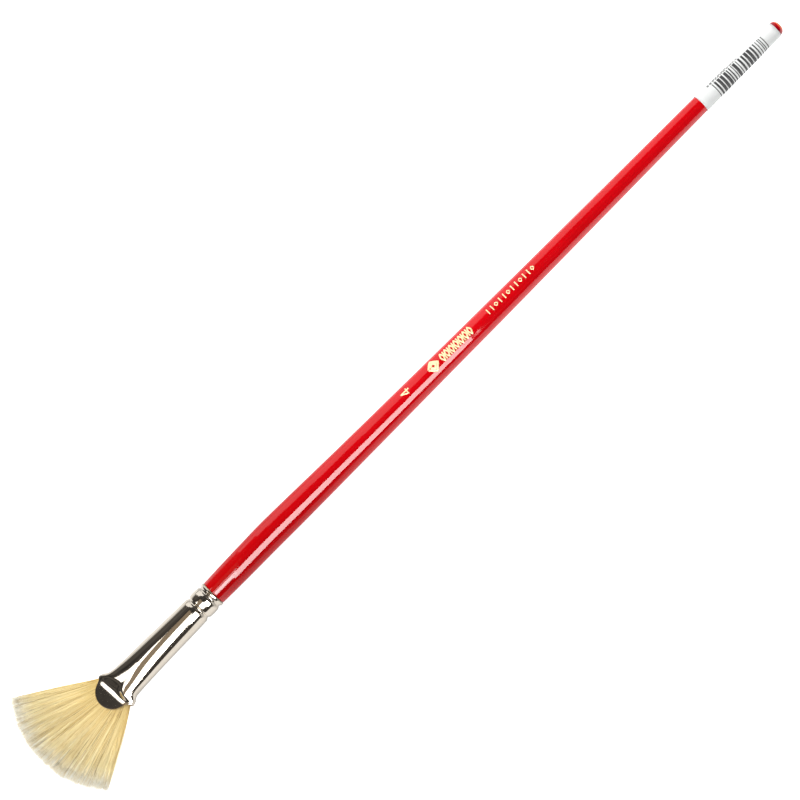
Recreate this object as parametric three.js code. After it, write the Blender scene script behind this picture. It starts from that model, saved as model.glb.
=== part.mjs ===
// Artists' fan brush, size 4, long handle. Millimetres, +Z up.
//
// The brush lies flat: its axis runs along X with the bristles towards +X, and the fan is parallel
// to the XY plane. The origin is at the bottom centre of the whole brush, so the belly of the
// handle touches z = 0.
//
// Pieces, from tail to tip: the wrapped label, the turned handle with its tenon, the ferrule, the
// glue plug, the thread that binds the bristles, the rooted part of the bristles (heel) and the
// part that bends in use (fan).

import * as THREE from 'three';
import { mergeVertices } from 'three/addons/utils/BufferGeometryUtils.js';

// ---- Driving dimensions ----------------------------------------------------------------------

const TAIL_X = -160.2;
const TIP_X = 160.2;

// Handle: turned wood, with facets so that one of them lies flat under the belly.
const HANDLE_SIDES = 32;
const BELLY_RADIUS = 4.66;
const BELLY_FROM_X = 54;
const BELLY_TO_X = 64;
const TAIL_RADIUS = 2.57;
const TAIL_DOME = 2.0;
const TAIL_DOME_STEPS = 4;
const SHOULDER_X = 87.2;
const SHOULDER_RADIUS = 4.24;
const TENON_END_X = 107;
const AXIS_Z = BELLY_RADIUS * Math.cos(Math.PI / HANDLE_SIDES);

// Ferrule: seamless plated tube, round and crimped at the handle, pressed flat at the mouth.
const FERRULE_END_X = 87.35;
const FERRULE_WALL = 0.3;
const FERRULE_SIDES = 40;
const CREASE_X = 129.6;
const TONGUE_RADIUS = 5.5;
const TONGUE_STEPS = 5;
const TONGUE_PINCH = 0.25;
const EAR_LIP = 0.25;

// Bristles: they spread as rays from a point inside the ferrule.
const RAY_ORIGIN_X = 118.4;
const FAN_HALF_ANGLE = THREE.MathUtils.degToRad(32.25);
const TIP_ARC_RADIUS = 37.3;
const BEND_X = 139.5;
const BEND_GAP = 0.15;
const BEND_RELIEF = Math.tan(THREE.MathUtils.degToRad(20));
const HALF_THICKNESS_AT_BEND = 0.8;
const HALF_THICKNESS_AT_TIP = 1.1;
const ROOT_X = 113.9;

// Thread bound round the bristle roots.
const THREAD_RADIUS = 0.22;
const THREAD_TURNS = 4;
const THREAD_PITCH = 0.62;
const THREAD_X = 115.4;
const THREAD_SINK = 0.95;

// Clearances between separate pieces.
const FIT_GAP = 0.2;
const HAIR_GAP = 0.3;

// Label: paper wrapped round the tail.
const LABEL_FROM_X = -158.1;
const LABEL_TO_X = -125.5;
const LABEL_GAP = 0.08;
const LABEL_THICKNESS = 0.14;

// Handle stations behind the belly and in front of it: [x, radius].
const HANDLE_BACK = [
  [TAIL_X + TAIL_DOME, TAIL_RADIUS],
  [-124, 2.97],
  [-105, 3.12],
  [-74, 3.36],
  [-44, 3.6],
  [-13, 3.84],
  [18, 4.15],
  [32, 4.31],
  [45, 4.5],
  [BELLY_FROM_X, BELLY_RADIUS],
];
const HANDLE_FRONT = [
  [BELLY_TO_X, BELLY_RADIUS],
  [71, 4.57],
  [79, 4.44],
  [SHOULDER_X, SHOULDER_RADIUS],
];

// The tenon follows the crimps of the ferrule: [x, radius].
const TENON = [
  [SHOULDER_X, 3.9],
  [88.2, 3.9],
  [88.9, 3.46],
  [89.9, 3.94],
  [92.7, 3.94],
  [93.8, 3.42],
  [95.6, 4.04],
  [105.6, 3.88],
  [TENON_END_X, 3.35],
];

// Ferrule sections up to the crease: [x, half width, half height].
const FERRULE_SECTIONS = [
  [FERRULE_END_X, 4.4, 4.4],
  [88.3, 4.44, 4.44],
  [88.9, 4.02, 4.02],
  [89.6, 4.45, 4.45],
  [91.2, 4.58, 4.58],
  [93, 4.48, 4.48],
  [93.8, 4.02, 4.02],
  [94.6, 4.48, 4.48],
  [95.8, 4.6, 4.6],
  [104, 4.8, 4.5],
  [112, 5, 4.22],
  [120, 5.24, 3.76],
  [125.3, 5.45, 3.28],
  [127.2, 5.95, 2.6],
  [128.5, 6.7, 1.85],
  [CREASE_X, 7.15, 1.42],
];

// ---- Shape helpers ---------------------------------------------------------------------------

// Value of a station table at x, on straight lines between stations.
function stationValue(stations, x, column) {
  const after = stations.findIndex((station) => station[0] > x);
  if (after === 0) return stations[0][column];
  if (after < 0) return stations.at(-1)[column];
  const [low, high] = [stations[after - 1], stations[after]];
  const part = (x - low[0]) / (high[0] - low[0]);
  return THREE.MathUtils.lerp(low[column], high[column], part);
}

// Indexed geometry from a list of points and a list of triangles, with equal points joined and
// triangles without area dropped.
function solidFrom(points, triangles) {
  const raw = new THREE.BufferGeometry().setFromPoints(points);
  raw.setIndex(triangles.flat());
  const merged = mergeVertices(raw, 1e-5);
  const index = merged.getIndex().array;
  const kept = [];
  for (let i = 0; i < index.length; i += 3) {
    const [a, b, c] = [index[i], index[i + 1], index[i + 2]];
    if (a !== b && b !== c && c !== a) kept.push(a, b, c);
  }
  merged.setIndex(kept);
  merged.computeVertexNormals();
  return merged;
}

// Closed body through rings of equal length. The last ring joins the first, so the body is a
// tube with a wall.
function ringTube(rings) {
  const sides = rings[0].length;
  const triangles = [];
  rings.forEach((ring, row) => {
    const next = ((row + 1) % rings.length) * sides;
    for (let side = 0; side < sides; side += 1) {
      const turn = (side + 1) % sides;
      const [a, b] = [row * sides + side, row * sides + turn];
      const [c, d] = [next + side, next + turn];
      triangles.push([a, b, d], [a, d, c]);
    }
  });
  return solidFrom(rings.flat(), triangles);
}

// Closed body between an upper and a lower sheet. Both are grids of rows, each row running from
// -Y to +Y, with the rows following each other towards +X.
function bodyBetween(upper, lower) {
  const rows = upper.length;
  const columns = upper[0].length;
  const low = rows * columns;
  const at = (row, column) => row * columns + column;
  const triangles = [];
  const quad = (a, b, c, d) => triangles.push([a, b, c], [a, c, d]);
  for (let row = 0; row < rows - 1; row += 1) {
    for (let column = 0; column < columns - 1; column += 1) {
      const corners = [
        at(row, column),
        at(row + 1, column),
        at(row + 1, column + 1),
        at(row, column + 1),
      ];
      quad(...corners);
      quad(...corners.map((corner) => corner + low).reverse());
    }
  }
  for (let row = 0; row < rows - 1; row += 1) {
    const [a, b] = [at(row, 0), at(row + 1, 0)];
    quad(a, a + low, b + low, b);
    const [c, d] = [at(row, columns - 1), at(row + 1, columns - 1)];
    quad(c, d, d + low, c + low);
  }
  for (let column = 0; column < columns - 1; column += 1) {
    const [a, b] = [at(0, column), at(0, column + 1)];
    quad(a, b, b + low, a + low);
    const [c, d] = [at(rows - 1, column), at(rows - 1, column + 1)];
    quad(c, c + low, d + low, d);
  }
  return solidFrom([...upper.flat(), ...lower.flat()], triangles);
}

// Upper and lower sheets of a body with oval sections: [x, half width, half height].
function ovalSheets(sections, columns) {
  const sheet = (sign) => sections.map(([x, halfWidth, halfHeight]) => {
    const row = [];
    for (let column = 0; column <= columns; column += 1) {
      const angle = Math.PI * (1 - column / columns);
      row.push(new THREE.Vector3(
        x,
        halfWidth * Math.cos(angle),
        sign * halfHeight * Math.abs(Math.sin(angle)),
      ));
    }
    return row;
  });
  return [sheet(1), sheet(-1)];
}

// Turned body from a profile of [x, radius], about the X axis, with a facet facing down.
function turned(profile) {
  const points = profile.map(([x, radius]) => new THREE.Vector2(radius, x));
  const lathe = new THREE.LatheGeometry(points, HANDLE_SIDES, Math.PI / HANDLE_SIDES);
  lathe.rotateZ(-Math.PI / 2);
  lathe.deleteAttribute('normal');
  lathe.deleteAttribute('uv');
  const index = lathe.getIndex().array;
  const position = lathe.getAttribute('position');
  const corners = [];
  for (let i = 0; i < position.count; i += 1) {
    corners.push(new THREE.Vector3().fromBufferAttribute(position, i));
  }
  const triangles = [];
  for (let i = 0; i < index.length; i += 3) {
    triangles.push([index[i], index[i + 1], index[i + 2]]);
  }
  return solidFrom(corners, triangles);
}

// ---- Pieces ----------------------------------------------------------------------------------

function handleRadius(x) {
  return stationValue(HANDLE_BACK, x, 1);
}

function handleGeometry() {
  const dome = [];
  for (let step = 0; step < TAIL_DOME_STEPS; step += 1) {
    const angle = (Math.PI / 2) * (1 - step / TAIL_DOME_STEPS);
    const x = TAIL_X + TAIL_DOME * (1 - Math.sin(angle));
    const radius = step === 0 ? 0 : TAIL_RADIUS * Math.cos(angle);
    dome.push([x, radius]);
  }
  return turned([...dome, ...HANDLE_BACK, ...HANDLE_FRONT, ...TENON, [TENON_END_X, 0]]);
}

function labelGeometry() {
  const inside = (x) => handleRadius(x) + LABEL_GAP;
  const outside = (x) => inside(x) + LABEL_THICKNESS;
  return turned([
    [LABEL_FROM_X, inside(LABEL_FROM_X)],
    [LABEL_FROM_X, outside(LABEL_FROM_X)],
    [LABEL_TO_X, outside(LABEL_TO_X)],
    [LABEL_TO_X, inside(LABEL_TO_X)],
    [LABEL_FROM_X, inside(LABEL_FROM_X)],
  ]);
}

// One ring of the ferrule: inset is how far it lies inside the outer surface.
function ferruleRing(x, halfWidth, halfHeight, inset) {
  const ring = [];
  for (let side = 0; side < FERRULE_SIDES; side += 1) {
    const angle = (2 * Math.PI * side) / FERRULE_SIDES;
    ring.push(new THREE.Vector3(
      x,
      (halfWidth - inset) * Math.cos(angle),
      (halfHeight - inset) * Math.sin(angle),
    ));
  }
  return ring;
}

// How far the rim stands in front of the crease: a half disc on both faces, a short lip at the
// two ears.
function rimReach(y) {
  const disc = Math.sqrt(Math.max(0, TONGUE_RADIUS ** 2 - y ** 2));
  return Math.max(EAR_LIP, disc);
}

// Ring of the tongues, from part 0 at the crease to part 1 at the rim. The two tongues lean
// towards each other and pinch the bristles.
function tongueRing(part, inset) {
  const [, halfWidth, halfHeight] = FERRULE_SECTIONS.at(-1);
  return ferruleRing(CREASE_X, halfWidth, halfHeight, inset).map((point) => {
    const reach = part * rimReach(point.y);
    const pinch = TONGUE_PINCH * (reach / TONGUE_RADIUS) * Math.sign(point.z);
    const z = Math.abs(point.z) < EAR_LIP ? point.z : point.z - pinch;
    return new THREE.Vector3(CREASE_X + reach, point.y, z);
  });
}

function ferruleGeometry() {
  const wall = (inset) => {
    const rings = FERRULE_SECTIONS.map(([x, a, b]) => ferruleRing(x, a, b, inset));
    for (let step = 1; step <= TONGUE_STEPS; step += 1) {
      rings.push(tongueRing(step / TONGUE_STEPS, inset));
    }
    return rings;
  };
  return ringTube([...wall(0), ...wall(FERRULE_WALL).reverse()]);
}

// Sections of the room inside the ferrule, less a clearance.
function innerSection(x, clearance) {
  const less = FERRULE_WALL + clearance;
  const halfWidth = stationValue(FERRULE_SECTIONS, x, 1) - less;
  const halfHeight = stationValue(FERRULE_SECTIONS, x, 2) - less;
  return [x, halfWidth, halfHeight];
}

function glueGeometry() {
  const [from, to] = [TENON_END_X + HAIR_GAP, ROOT_X - HAIR_GAP];
  const sections = [from, (from + to) / 2, to].map((x) => innerSection(x, FIT_GAP));
  return bodyBetween(...ovalSheets(sections, 18));
}

// The heel is waisted where the thread binds it, fills the ferrule up to the crease, passes
// between the tongues and ends in a ridge at the bend line.
function heelGeometry() {
  const threadEnd = THREAD_X + THREAD_TURNS * THREAD_PITCH;
  const waist = (x) => {
    const [, halfWidth, halfHeight] = innerSection(x, HAIR_GAP);
    return [x, halfWidth - THREAD_SINK, halfHeight - THREAD_SINK];
  };
  const relief = HALF_THICKNESS_AT_BEND * BEND_RELIEF;
  const sections = [
    innerSection(ROOT_X, HAIR_GAP),
    innerSection(THREAD_X - 0.9, HAIR_GAP),
    waist(THREAD_X - 0.5),
    waist(threadEnd + 0.5),
    innerSection(threadEnd + 0.9, HAIR_GAP),
    innerSection(120, HAIR_GAP),
    innerSection(125.3, HAIR_GAP),
    innerSection(127.2, HAIR_GAP),
    innerSection(CREASE_X, HAIR_GAP),
    [CREASE_X + 0.5, 6.5, 0.62],
    [CREASE_X + 2, 8.2, 0.52],
    [CREASE_X + TONGUE_RADIUS, sideAt(CREASE_X + TONGUE_RADIUS), 0.45],
    [CREASE_X + TONGUE_RADIUS + 1.2, sideAt(CREASE_X + TONGUE_RADIUS + 1.2), 0.65],
    [BEND_X - BEND_GAP - relief, sideAt(BEND_X - relief), HALF_THICKNESS_AT_BEND],
    [BEND_X - BEND_GAP, sideAt(BEND_X - BEND_GAP), 0],
  ];
  return bodyBetween(...ovalSheets(sections, 24));
}

// Half width of the fan at x, along its straight side.
function sideAt(x) {
  return (x - RAY_ORIGIN_X) * Math.tan(FAN_HALF_ANGLE);
}

// Where a ray of the fan ends, on the arc of the tips.
function rayTip(angle) {
  const arcCentre = TIP_X - TIP_ARC_RADIUS - RAY_ORIGIN_X;
  const across = arcCentre * Math.sin(angle);
  const length = arcCentre * Math.cos(angle) + Math.sqrt(TIP_ARC_RADIUS ** 2 - across ** 2);
  return new THREE.Vector2(RAY_ORIGIN_X + length * Math.cos(angle), length * Math.sin(angle));
}

// The moving part of the bristles: a thin lens that starts as a ridge at the bend line.
function fanGeometry() {
  const columns = 28;
  const lengthSteps = 6;
  const start = BEND_X + BEND_GAP;
  const relief = (HALF_THICKNESS_AT_BEND * BEND_RELIEF) / (TIP_X - start);
  const parts = [0, relief];
  for (let step = 1; step <= lengthSteps; step += 1) parts.push(step / lengthSteps);
  const sheet = (sign) => parts.map((part) => {
    const middle = part === 0
      ? 0
      : THREE.MathUtils.lerp(HALF_THICKNESS_AT_BEND, HALF_THICKNESS_AT_TIP, part);
    const row = [];
    for (let column = 0; column <= columns; column += 1) {
      const side = (2 * column) / columns - 1;
      const angle = side * FAN_HALF_ANGLE;
      const root = new THREE.Vector2(start, (start - RAY_ORIGIN_X) * Math.tan(angle));
      const point = root.lerp(rayTip(angle), part);
      const lens = Math.sqrt(Math.max(0, 1 - side ** 2));
      row.push(new THREE.Vector3(point.x, point.y, sign * middle * lens));
    }
    return row;
  });
  return bodyBetween(sheet(1), sheet(-1));
}

// Path of the thread: a helix on the oval waist of the heel.
class ThreadPath extends THREE.Curve {
  getPoint(part, target = new THREE.Vector3()) {
    const angle = 2 * Math.PI * THREAD_TURNS * part;
    const x = THREAD_X + THREAD_PITCH * THREAD_TURNS * part;
    const [, halfWidth, halfHeight] = innerSection(x, HAIR_GAP + THREAD_SINK / 2);
    return target.set(x, halfWidth * Math.cos(angle), halfHeight * Math.sin(angle));
  }
}

function threadGeometry() {
  const section = new THREE.Shape();
  section.absarc(0, 0, THREAD_RADIUS, 0, 2 * Math.PI);
  const extruded = new THREE.ExtrudeGeometry(section, {
    curveSegments: 3,
    steps: THREAD_TURNS * 20,
    extrudePath: new ThreadPath(),
  });
  extruded.deleteAttribute('normal');
  extruded.deleteAttribute('uv');
  return mergeVertices(extruded, 1e-5);
}

// ---- Assembly --------------------------------------------------------------------------------

const FINISHES = {
  handle: { color: 0xc8000f, roughness: 0.12, metalness: 0 },
  label: { color: 0xf2f4f3, roughness: 0.55, metalness: 0 },
  ferrule: { color: 0xd3ccc0, roughness: 0.08, metalness: 1 },
  glue_plug: { color: 0xd8b878, roughness: 0.3, metalness: 0 },
  binding_thread: { color: 0xe8e0cc, roughness: 0.9, metalness: 0 },
  bristle_heel: { color: 0xe2c47e, roughness: 0.55, metalness: 0 },
  bristle_fan: { color: 0xf0dc98, roughness: 0.55, metalness: 0 },
};

const GEOMETRIES = {
  handle: handleGeometry,
  label: labelGeometry,
  ferrule: ferruleGeometry,
  glue_plug: glueGeometry,
  binding_thread: threadGeometry,
  bristle_heel: heelGeometry,
  bristle_fan: fanGeometry,
};

const brush = new THREE.Group();
brush.position.z = AXIS_Z;
for (const [name, makeGeometry] of Object.entries(GEOMETRIES)) {
  const mesh = new THREE.Mesh(makeGeometry(), new THREE.MeshStandardMaterial(FINISHES[name]));
  mesh.name = name;
  brush.add(mesh);
}

const root = new THREE.Group();
root.add(brush);

export default root;
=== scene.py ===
"""Fan paint brush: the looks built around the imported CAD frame.

The brush lies on a pale floor with its axis along X, the bristle tips at +X and the fan flat.
Sizes in the classes are millimetres; they are turned to metres where a mesh is made.
"""

import logging
import math
from dataclasses import dataclass
from enum import Enum

import bpy
import numpy as np
from mathutils import Matrix, Vector


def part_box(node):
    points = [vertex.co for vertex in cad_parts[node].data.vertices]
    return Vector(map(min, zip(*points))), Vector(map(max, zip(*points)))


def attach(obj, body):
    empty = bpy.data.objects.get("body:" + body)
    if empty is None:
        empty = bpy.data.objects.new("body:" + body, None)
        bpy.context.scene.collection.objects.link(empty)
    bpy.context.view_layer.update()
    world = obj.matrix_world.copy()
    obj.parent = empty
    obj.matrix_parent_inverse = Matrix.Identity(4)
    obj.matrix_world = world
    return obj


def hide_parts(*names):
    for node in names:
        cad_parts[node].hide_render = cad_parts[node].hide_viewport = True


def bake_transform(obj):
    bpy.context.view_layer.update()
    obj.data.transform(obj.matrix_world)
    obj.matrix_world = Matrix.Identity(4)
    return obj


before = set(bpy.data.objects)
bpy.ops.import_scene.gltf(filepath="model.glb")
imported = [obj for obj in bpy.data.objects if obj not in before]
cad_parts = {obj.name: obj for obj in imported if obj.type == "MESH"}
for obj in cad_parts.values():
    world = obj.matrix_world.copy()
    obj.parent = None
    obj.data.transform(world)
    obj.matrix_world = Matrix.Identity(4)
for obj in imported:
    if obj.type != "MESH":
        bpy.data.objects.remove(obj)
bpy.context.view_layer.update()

LOG = logging.getLogger("fan_brush")
MM = 0.001
AXIS_Z = (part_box("handle")[0].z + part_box("handle")[1].z) / 2
SHARP_ANGLE = math.radians(40)
MERGE_DISTANCE = 1e-6


class Body(Enum):
    """The two bodies of the record: the rigid brush and the bending bristle tips."""

    BRUSH = "brush"
    TIPS = "bristle_tips"


class Slot(Enum):
    """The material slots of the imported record."""

    LACQUER = "red_lacquered_wood"
    PAPER = "label_paper"
    NICKEL = "nickel_plated_brass"
    EPOXY = "set_epoxy"
    THREAD = "cotton_thread"
    BRISTLE = "hog_bristle"


# ---------------------------------------------------------------- mesh helpers


def monotone_curve(stations: tuple, at: np.ndarray) -> np.ndarray:
    """Runs a smooth curve without overshoot through a few stations.

    Args:
        stations: pairs of position and value, in rising order of position.
        at: positions where the value is wanted.

    Returns:
        The value at each position.
    """
    x = np.array([s[0] for s in stations], float)
    y = np.array([s[1] for s in stations], float)
    step = np.diff(x)
    slope = np.diff(y) / step
    tangent = np.zeros(len(x))
    tangent[0], tangent[-1] = slope[0], slope[-1]
    for i in range(1, len(x) - 1):
        if slope[i - 1] * slope[i] > 0:
            a = 2 * step[i] + step[i - 1]
            b = step[i] + 2 * step[i - 1]
            tangent[i] = (a + b) / (a / slope[i - 1] + b / slope[i])
    k = np.clip(np.searchsorted(x, at) - 1, 0, len(step) - 1)
    t = np.clip((at - x[k]) / step[k], 0, 1)
    return (
        y[k] * (1 + 2 * t) * (1 - t) ** 2
        + step[k] * tangent[k] * t * (1 - t) ** 2
        + y[k + 1] * t**2 * (3 - 2 * t)
        + step[k] * tangent[k + 1] * t**2 * (t - 1)
    )


def smooth_ramp(value: np.ndarray, start: float, end: float) -> np.ndarray:
    """Rises smoothly from 0 at start to 1 at end."""
    t = np.clip((value - start) / (end - start), 0, 1)
    return t * t * (3 - 2 * t)


# Station and sideways offset of the slightly bent centre line.
CENTRE_LINE = (
    (-161.0, -0.28), (-122.0, -0.21), (-95.0, -0.06), (-65.0, 0.06), (-30.0, 0.17), (2.0, 0.16), (31.0, 0.11),
    (52.0, -0.01), (62.0, -0.08), (72.0, 0.08), (80.0, 0.22), (87.2, 0.32), (91.5, 0.33), (100.0, 0.45),
    (112.0, 0.47), (124.0, 0.60), (130.0, 0.46), (140.0, 0.30), (162.0, 0.05),
)


def aside(x: np.ndarray) -> np.ndarray:
    """Gives how far the slightly bent centre line lies towards +Y at a station, in millimetres."""
    return monotone_curve(CENTRE_LINE, np.asarray(x, float))


def mesh_piece(name: str, points: np.ndarray, faces: np.ndarray) -> bpy.types.Object:
    """Makes a smooth-shaded mesh object with its place in its mesh.

    Args:
        name: the piece's name.
        points: vertices in millimetres about the brush axis.
        faces: vertex indices of each face.

    Returns:
        The new object, at the origin.
    """
    placed = np.asarray(points, float) * MM
    placed[:, 2] += AXIS_Z
    mesh = bpy.data.meshes.new(name)
    mesh.from_pydata(placed, [], faces)
    mesh.polygons.foreach_set("use_smooth", np.ones(len(mesh.polygons), bool))
    mesh.update()
    piece = bpy.data.objects.new(name, mesh)
    bpy.context.scene.collection.objects.link(piece)
    return piece


def grid_faces(rows: int, columns: int, closed: bool) -> np.ndarray:
    """Lists the quads of a grid of vertices.

    Args:
        rows: number of rows of vertices.
        columns: number of vertices in a row.
        closed: whether the last column joins the first.

    Returns:
        Quads as an array of four indices each.
    """
    across = columns if closed else columns - 1
    r, c = np.meshgrid(np.arange(rows - 1), np.arange(across), indexing="ij")
    r, c = r.ravel(), c.ravel()
    n = (c + 1) % columns
    return np.stack([r * columns + c, r * columns + n, (r + 1) * columns + n, (r + 1) * columns + c], 1)


def joined(parts: list) -> tuple:
    """Joins several meshes into one.

    Args:
        parts: pairs of vertices and faces.

    Returns:
        All vertices, and all faces with their indices moved up.
    """
    shifts = np.cumsum([0] + [len(points) for points, _ in parts[:-1]])
    faces = [quads + shift for (_, quads), shift in zip(parts, shifts)]
    return np.concatenate([points for points, _ in parts]), np.concatenate(faces)


def mark_points(piece: bpy.types.Object, key: str, values: np.ndarray) -> None:
    """Writes one number for each vertex of a piece, for its material to read."""
    attribute = piece.data.attributes.new(key, "FLOAT", "POINT")
    attribute.data.foreach_set("value", values.astype(np.float32))


def apply_stack(piece: bpy.types.Object) -> None:
    """Applies every modifier of a piece and leaves the result in its mesh.

    Args:
        piece: the piece whose stack is finished.
    """
    bpy.context.view_layer.update()
    graph = bpy.context.evaluated_depsgraph_get()
    before = piece.data
    piece.data = bpy.data.meshes.new_from_object(piece.evaluated_get(graph))
    piece.data.name = piece.name
    piece.modifiers.clear()
    bpy.data.meshes.remove(before)


def turned_piece(name: str, profile: list, steps: int) -> bpy.types.Object:
    """Turns a profile with a Screw modifier and lays it along the brush axis.

    Args:
        name: the piece's name.
        profile: pairs of station along the axis and radius, in millimetres.
        steps: number of steps round the axis.

    Returns:
        The turned object, with its stack and its place applied.
    """
    from_top = sorted(profile, key=lambda s: -s[0])
    mesh = bpy.data.meshes.new(name)
    points = [(radius * MM, 0, station * MM) for station, radius in from_top]
    mesh.from_pydata(points, [(i, i + 1) for i in range(len(points) - 1)], [])
    piece = bpy.data.objects.new(name, mesh)
    bpy.context.scene.collection.objects.link(piece)
    screw = piece.modifiers.new("Turn", "SCREW")
    screw.axis = "Z"
    screw.steps = steps
    screw.render_steps = steps
    screw.use_merge_vertices = True
    screw.merge_threshold = MERGE_DISTANCE
    screw.use_smooth_shade = True
    apply_stack(piece)
    lie_down = Matrix.Translation((0, 0, AXIS_Z)) @ Matrix.Rotation(math.pi / 2, 4, "Y")
    piece.data.transform(lie_down)
    piece.data.set_sharp_from_angle(angle=SHARP_ANGLE)
    return piece


def bend(piece: bpy.types.Object) -> None:
    """Moves a finished mesh sideways so that it follows the centre line.

    Args:
        piece: a piece made straight along the axis.
    """
    count = len(piece.data.vertices)
    flat = np.empty(count * 3)
    piece.data.vertices.foreach_get("co", flat)
    points = flat.reshape(-1, 3)
    points[:, 1] += aside(points[:, 0] / MM) * MM
    piece.data.vertices.foreach_set("co", points.ravel())
    piece.data.update()


def thicken(piece: bpy.types.Object, thickness: float, offset: float) -> None:
    """Adds a live Solidify of a thickness in millimetres to a piece.

    Args:
        piece: the sheet to thicken.
        thickness: thickness of the wall in millimetres.
        offset: -1 to grow inwards, 1 to grow outwards.
    """
    wall = piece.modifiers.new("Wall", "SOLIDIFY")
    wall.thickness = thickness * MM
    wall.offset = offset
    wall.use_even_offset = True


def soften(piece: bpy.types.Object, levels: int) -> None:
    """Adds a live Subdivision Surface to a piece.

    Args:
        piece: the piece to smooth.
        levels: subdivision levels, the same in every view.
    """
    smooth = piece.modifiers.new("Smooth", "SUBSURF")
    smooth.levels = levels
    smooth.render_levels = levels


# ---------------------------------------------------------------- node helpers


class NodeSheet:
    """Adds nodes to a node tree and joins them."""

    def __init__(self, tree: bpy.types.NodeTree) -> None:
        """Keeps the tree to work on."""
        self.tree = tree

    def add(self, kind: str, **settings: object) -> bpy.types.Node:
        """Adds a node.

        Args:
            kind: the node's type name.
            settings: properties to set on it.

        Returns:
            The new node.
        """
        node = self.tree.nodes.new(kind)
        for key, value in settings.items():
            setattr(node, key, value)
        return node

    def feed(self, target: bpy.types.NodeSocket, value: object) -> None:
        """Joins a socket to another, or sets its own value.

        Args:
            target: the input socket.
            value: another socket, or the value to set.
        """
        if isinstance(value, bpy.types.NodeSocket):
            self.tree.links.new(value, target)
        else:
            target.default_value = value

    def maths(self, operation: str, a: object, b: object = 0.0) -> bpy.types.NodeSocket:
        """Adds a Math node.

        Args:
            operation: the node's operation.
            a: first socket or number.
            b: second socket or number.

        Returns:
            The result.
        """
        node = self.add("ShaderNodeMath", operation=operation)
        self.feed(node.inputs[0], a)
        self.feed(node.inputs[1], b)
        return node.outputs[0]

    def scaled(self, vector: object, by: object) -> bpy.types.NodeSocket:
        """Adds a Vector Math node that multiplies.

        Args:
            vector: the vector socket.
            by: a vector socket or number to multiply it by.

        Returns:
            The scaled vector.
        """
        node = self.add("ShaderNodeVectorMath", operation="MULTIPLY")
        self.feed(node.inputs[0], vector)
        self.feed(node.inputs[1], by)
        return node.outputs[0]

    def between(
        self, value: object, low: float, high: float, to_low: float, to_high: float
    ) -> bpy.types.NodeSocket:
        """Adds a clamped Map Range node.

        Args:
            value: the socket to map.
            low: value that gives to_low.
            high: value that gives to_high.
            to_low: result at low.
            to_high: result at high.

        Returns:
            The mapped value.
        """
        node = self.add("ShaderNodeMapRange")
        self.feed(node.inputs["Value"], value)
        for key, number in (("From Min", low), ("From Max", high), ("To Min", to_low), ("To Max", to_high)):
            node.inputs[key].default_value = number
        return node.outputs["Result"]

    def noise(
        self, vector: object, scale: float, detail: float, roughness: float = 0.5
    ) -> bpy.types.NodeSocket:
        """Adds a Noise Texture.

        Args:
            vector: where the noise is read.
            scale: how fine it is.
            detail: how many finer layers it has.
            roughness: how strong those layers are.

        Returns:
            The noise, about 0.5 on average.
        """
        node = self.add("ShaderNodeTexNoise")
        self.feed(node.inputs["Vector"], vector)
        node.inputs["Scale"].default_value = scale
        node.inputs["Detail"].default_value = detail
        node.inputs["Roughness"].default_value = roughness
        return node.outputs["Fac"]

    def ramp(self, value: object, stops: tuple) -> bpy.types.NodeSocket:
        """Adds a Color Ramp.

        Args:
            value: what drives the ramp.
            stops: pairs of position and colour, in rising order.

        Returns:
            The ramp's colour.
        """
        node = self.add("ShaderNodeValToRGB")
        elements = node.color_ramp.elements
        while len(elements) < len(stops):
            elements.new(0.5)
        for element, (position, colour) in zip(elements, stops):
            element.position = position
            element.color = (*colour, 1)
        self.feed(node.inputs["Fac"], value)
        return node.outputs["Color"]

    def mixed(self, factor: object, a: object, b: object, blend: str = "MIX") -> bpy.types.NodeSocket:
        """Adds a colour Mix node.

        Args:
            factor: share of b.
            a: first colour or socket.
            b: second colour or socket.
            blend: how the two are blended.

        Returns:
            The mixed colour.
        """
        node = self.add("ShaderNodeMix", data_type="RGBA", blend_type=blend)
        self.feed(node.inputs["Factor"], factor)
        self.feed(node.inputs["A"], a if isinstance(a, bpy.types.NodeSocket) else (*a, 1))
        self.feed(node.inputs["B"], b if isinstance(b, bpy.types.NodeSocket) else (*b, 1))
        return node.outputs["Result"]

    def bump(self, height: object, strength: float, distance: float) -> bpy.types.NodeSocket:
        """Adds a Bump node.

        Args:
            height: the height socket.
            strength: share of the effect.
            distance: height of one unit, in metres.

        Returns:
            The bumped normal.
        """
        node = self.add("ShaderNodeBump")
        node.inputs["Strength"].default_value = strength
        node.inputs["Distance"].default_value = distance
        self.feed(node.inputs["Height"], height)
        return node.outputs["Normal"]


def shared_group(name: str, inputs: tuple) -> tuple:
    """Starts a shader node group with a vector input, number inputs and one Value output.

    Args:
        name: the group's name.
        inputs: pairs of socket name and default number.

    Returns:
        The group, its sheet, its input node and its output node.
    """
    group = bpy.data.node_groups.new(name, "ShaderNodeTree")
    group.interface.new_socket("Vector", in_out="INPUT", socket_type="NodeSocketVector")
    for key, number in inputs:
        socket = group.interface.new_socket(key, in_out="INPUT", socket_type="NodeSocketFloat")
        socket.default_value = number
    group.interface.new_socket("Value", in_out="OUTPUT", socket_type="NodeSocketFloat")
    sheet = NodeSheet(group)
    return group, sheet, sheet.add("NodeGroupInput"), sheet.add("NodeGroupOutput")


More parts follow.
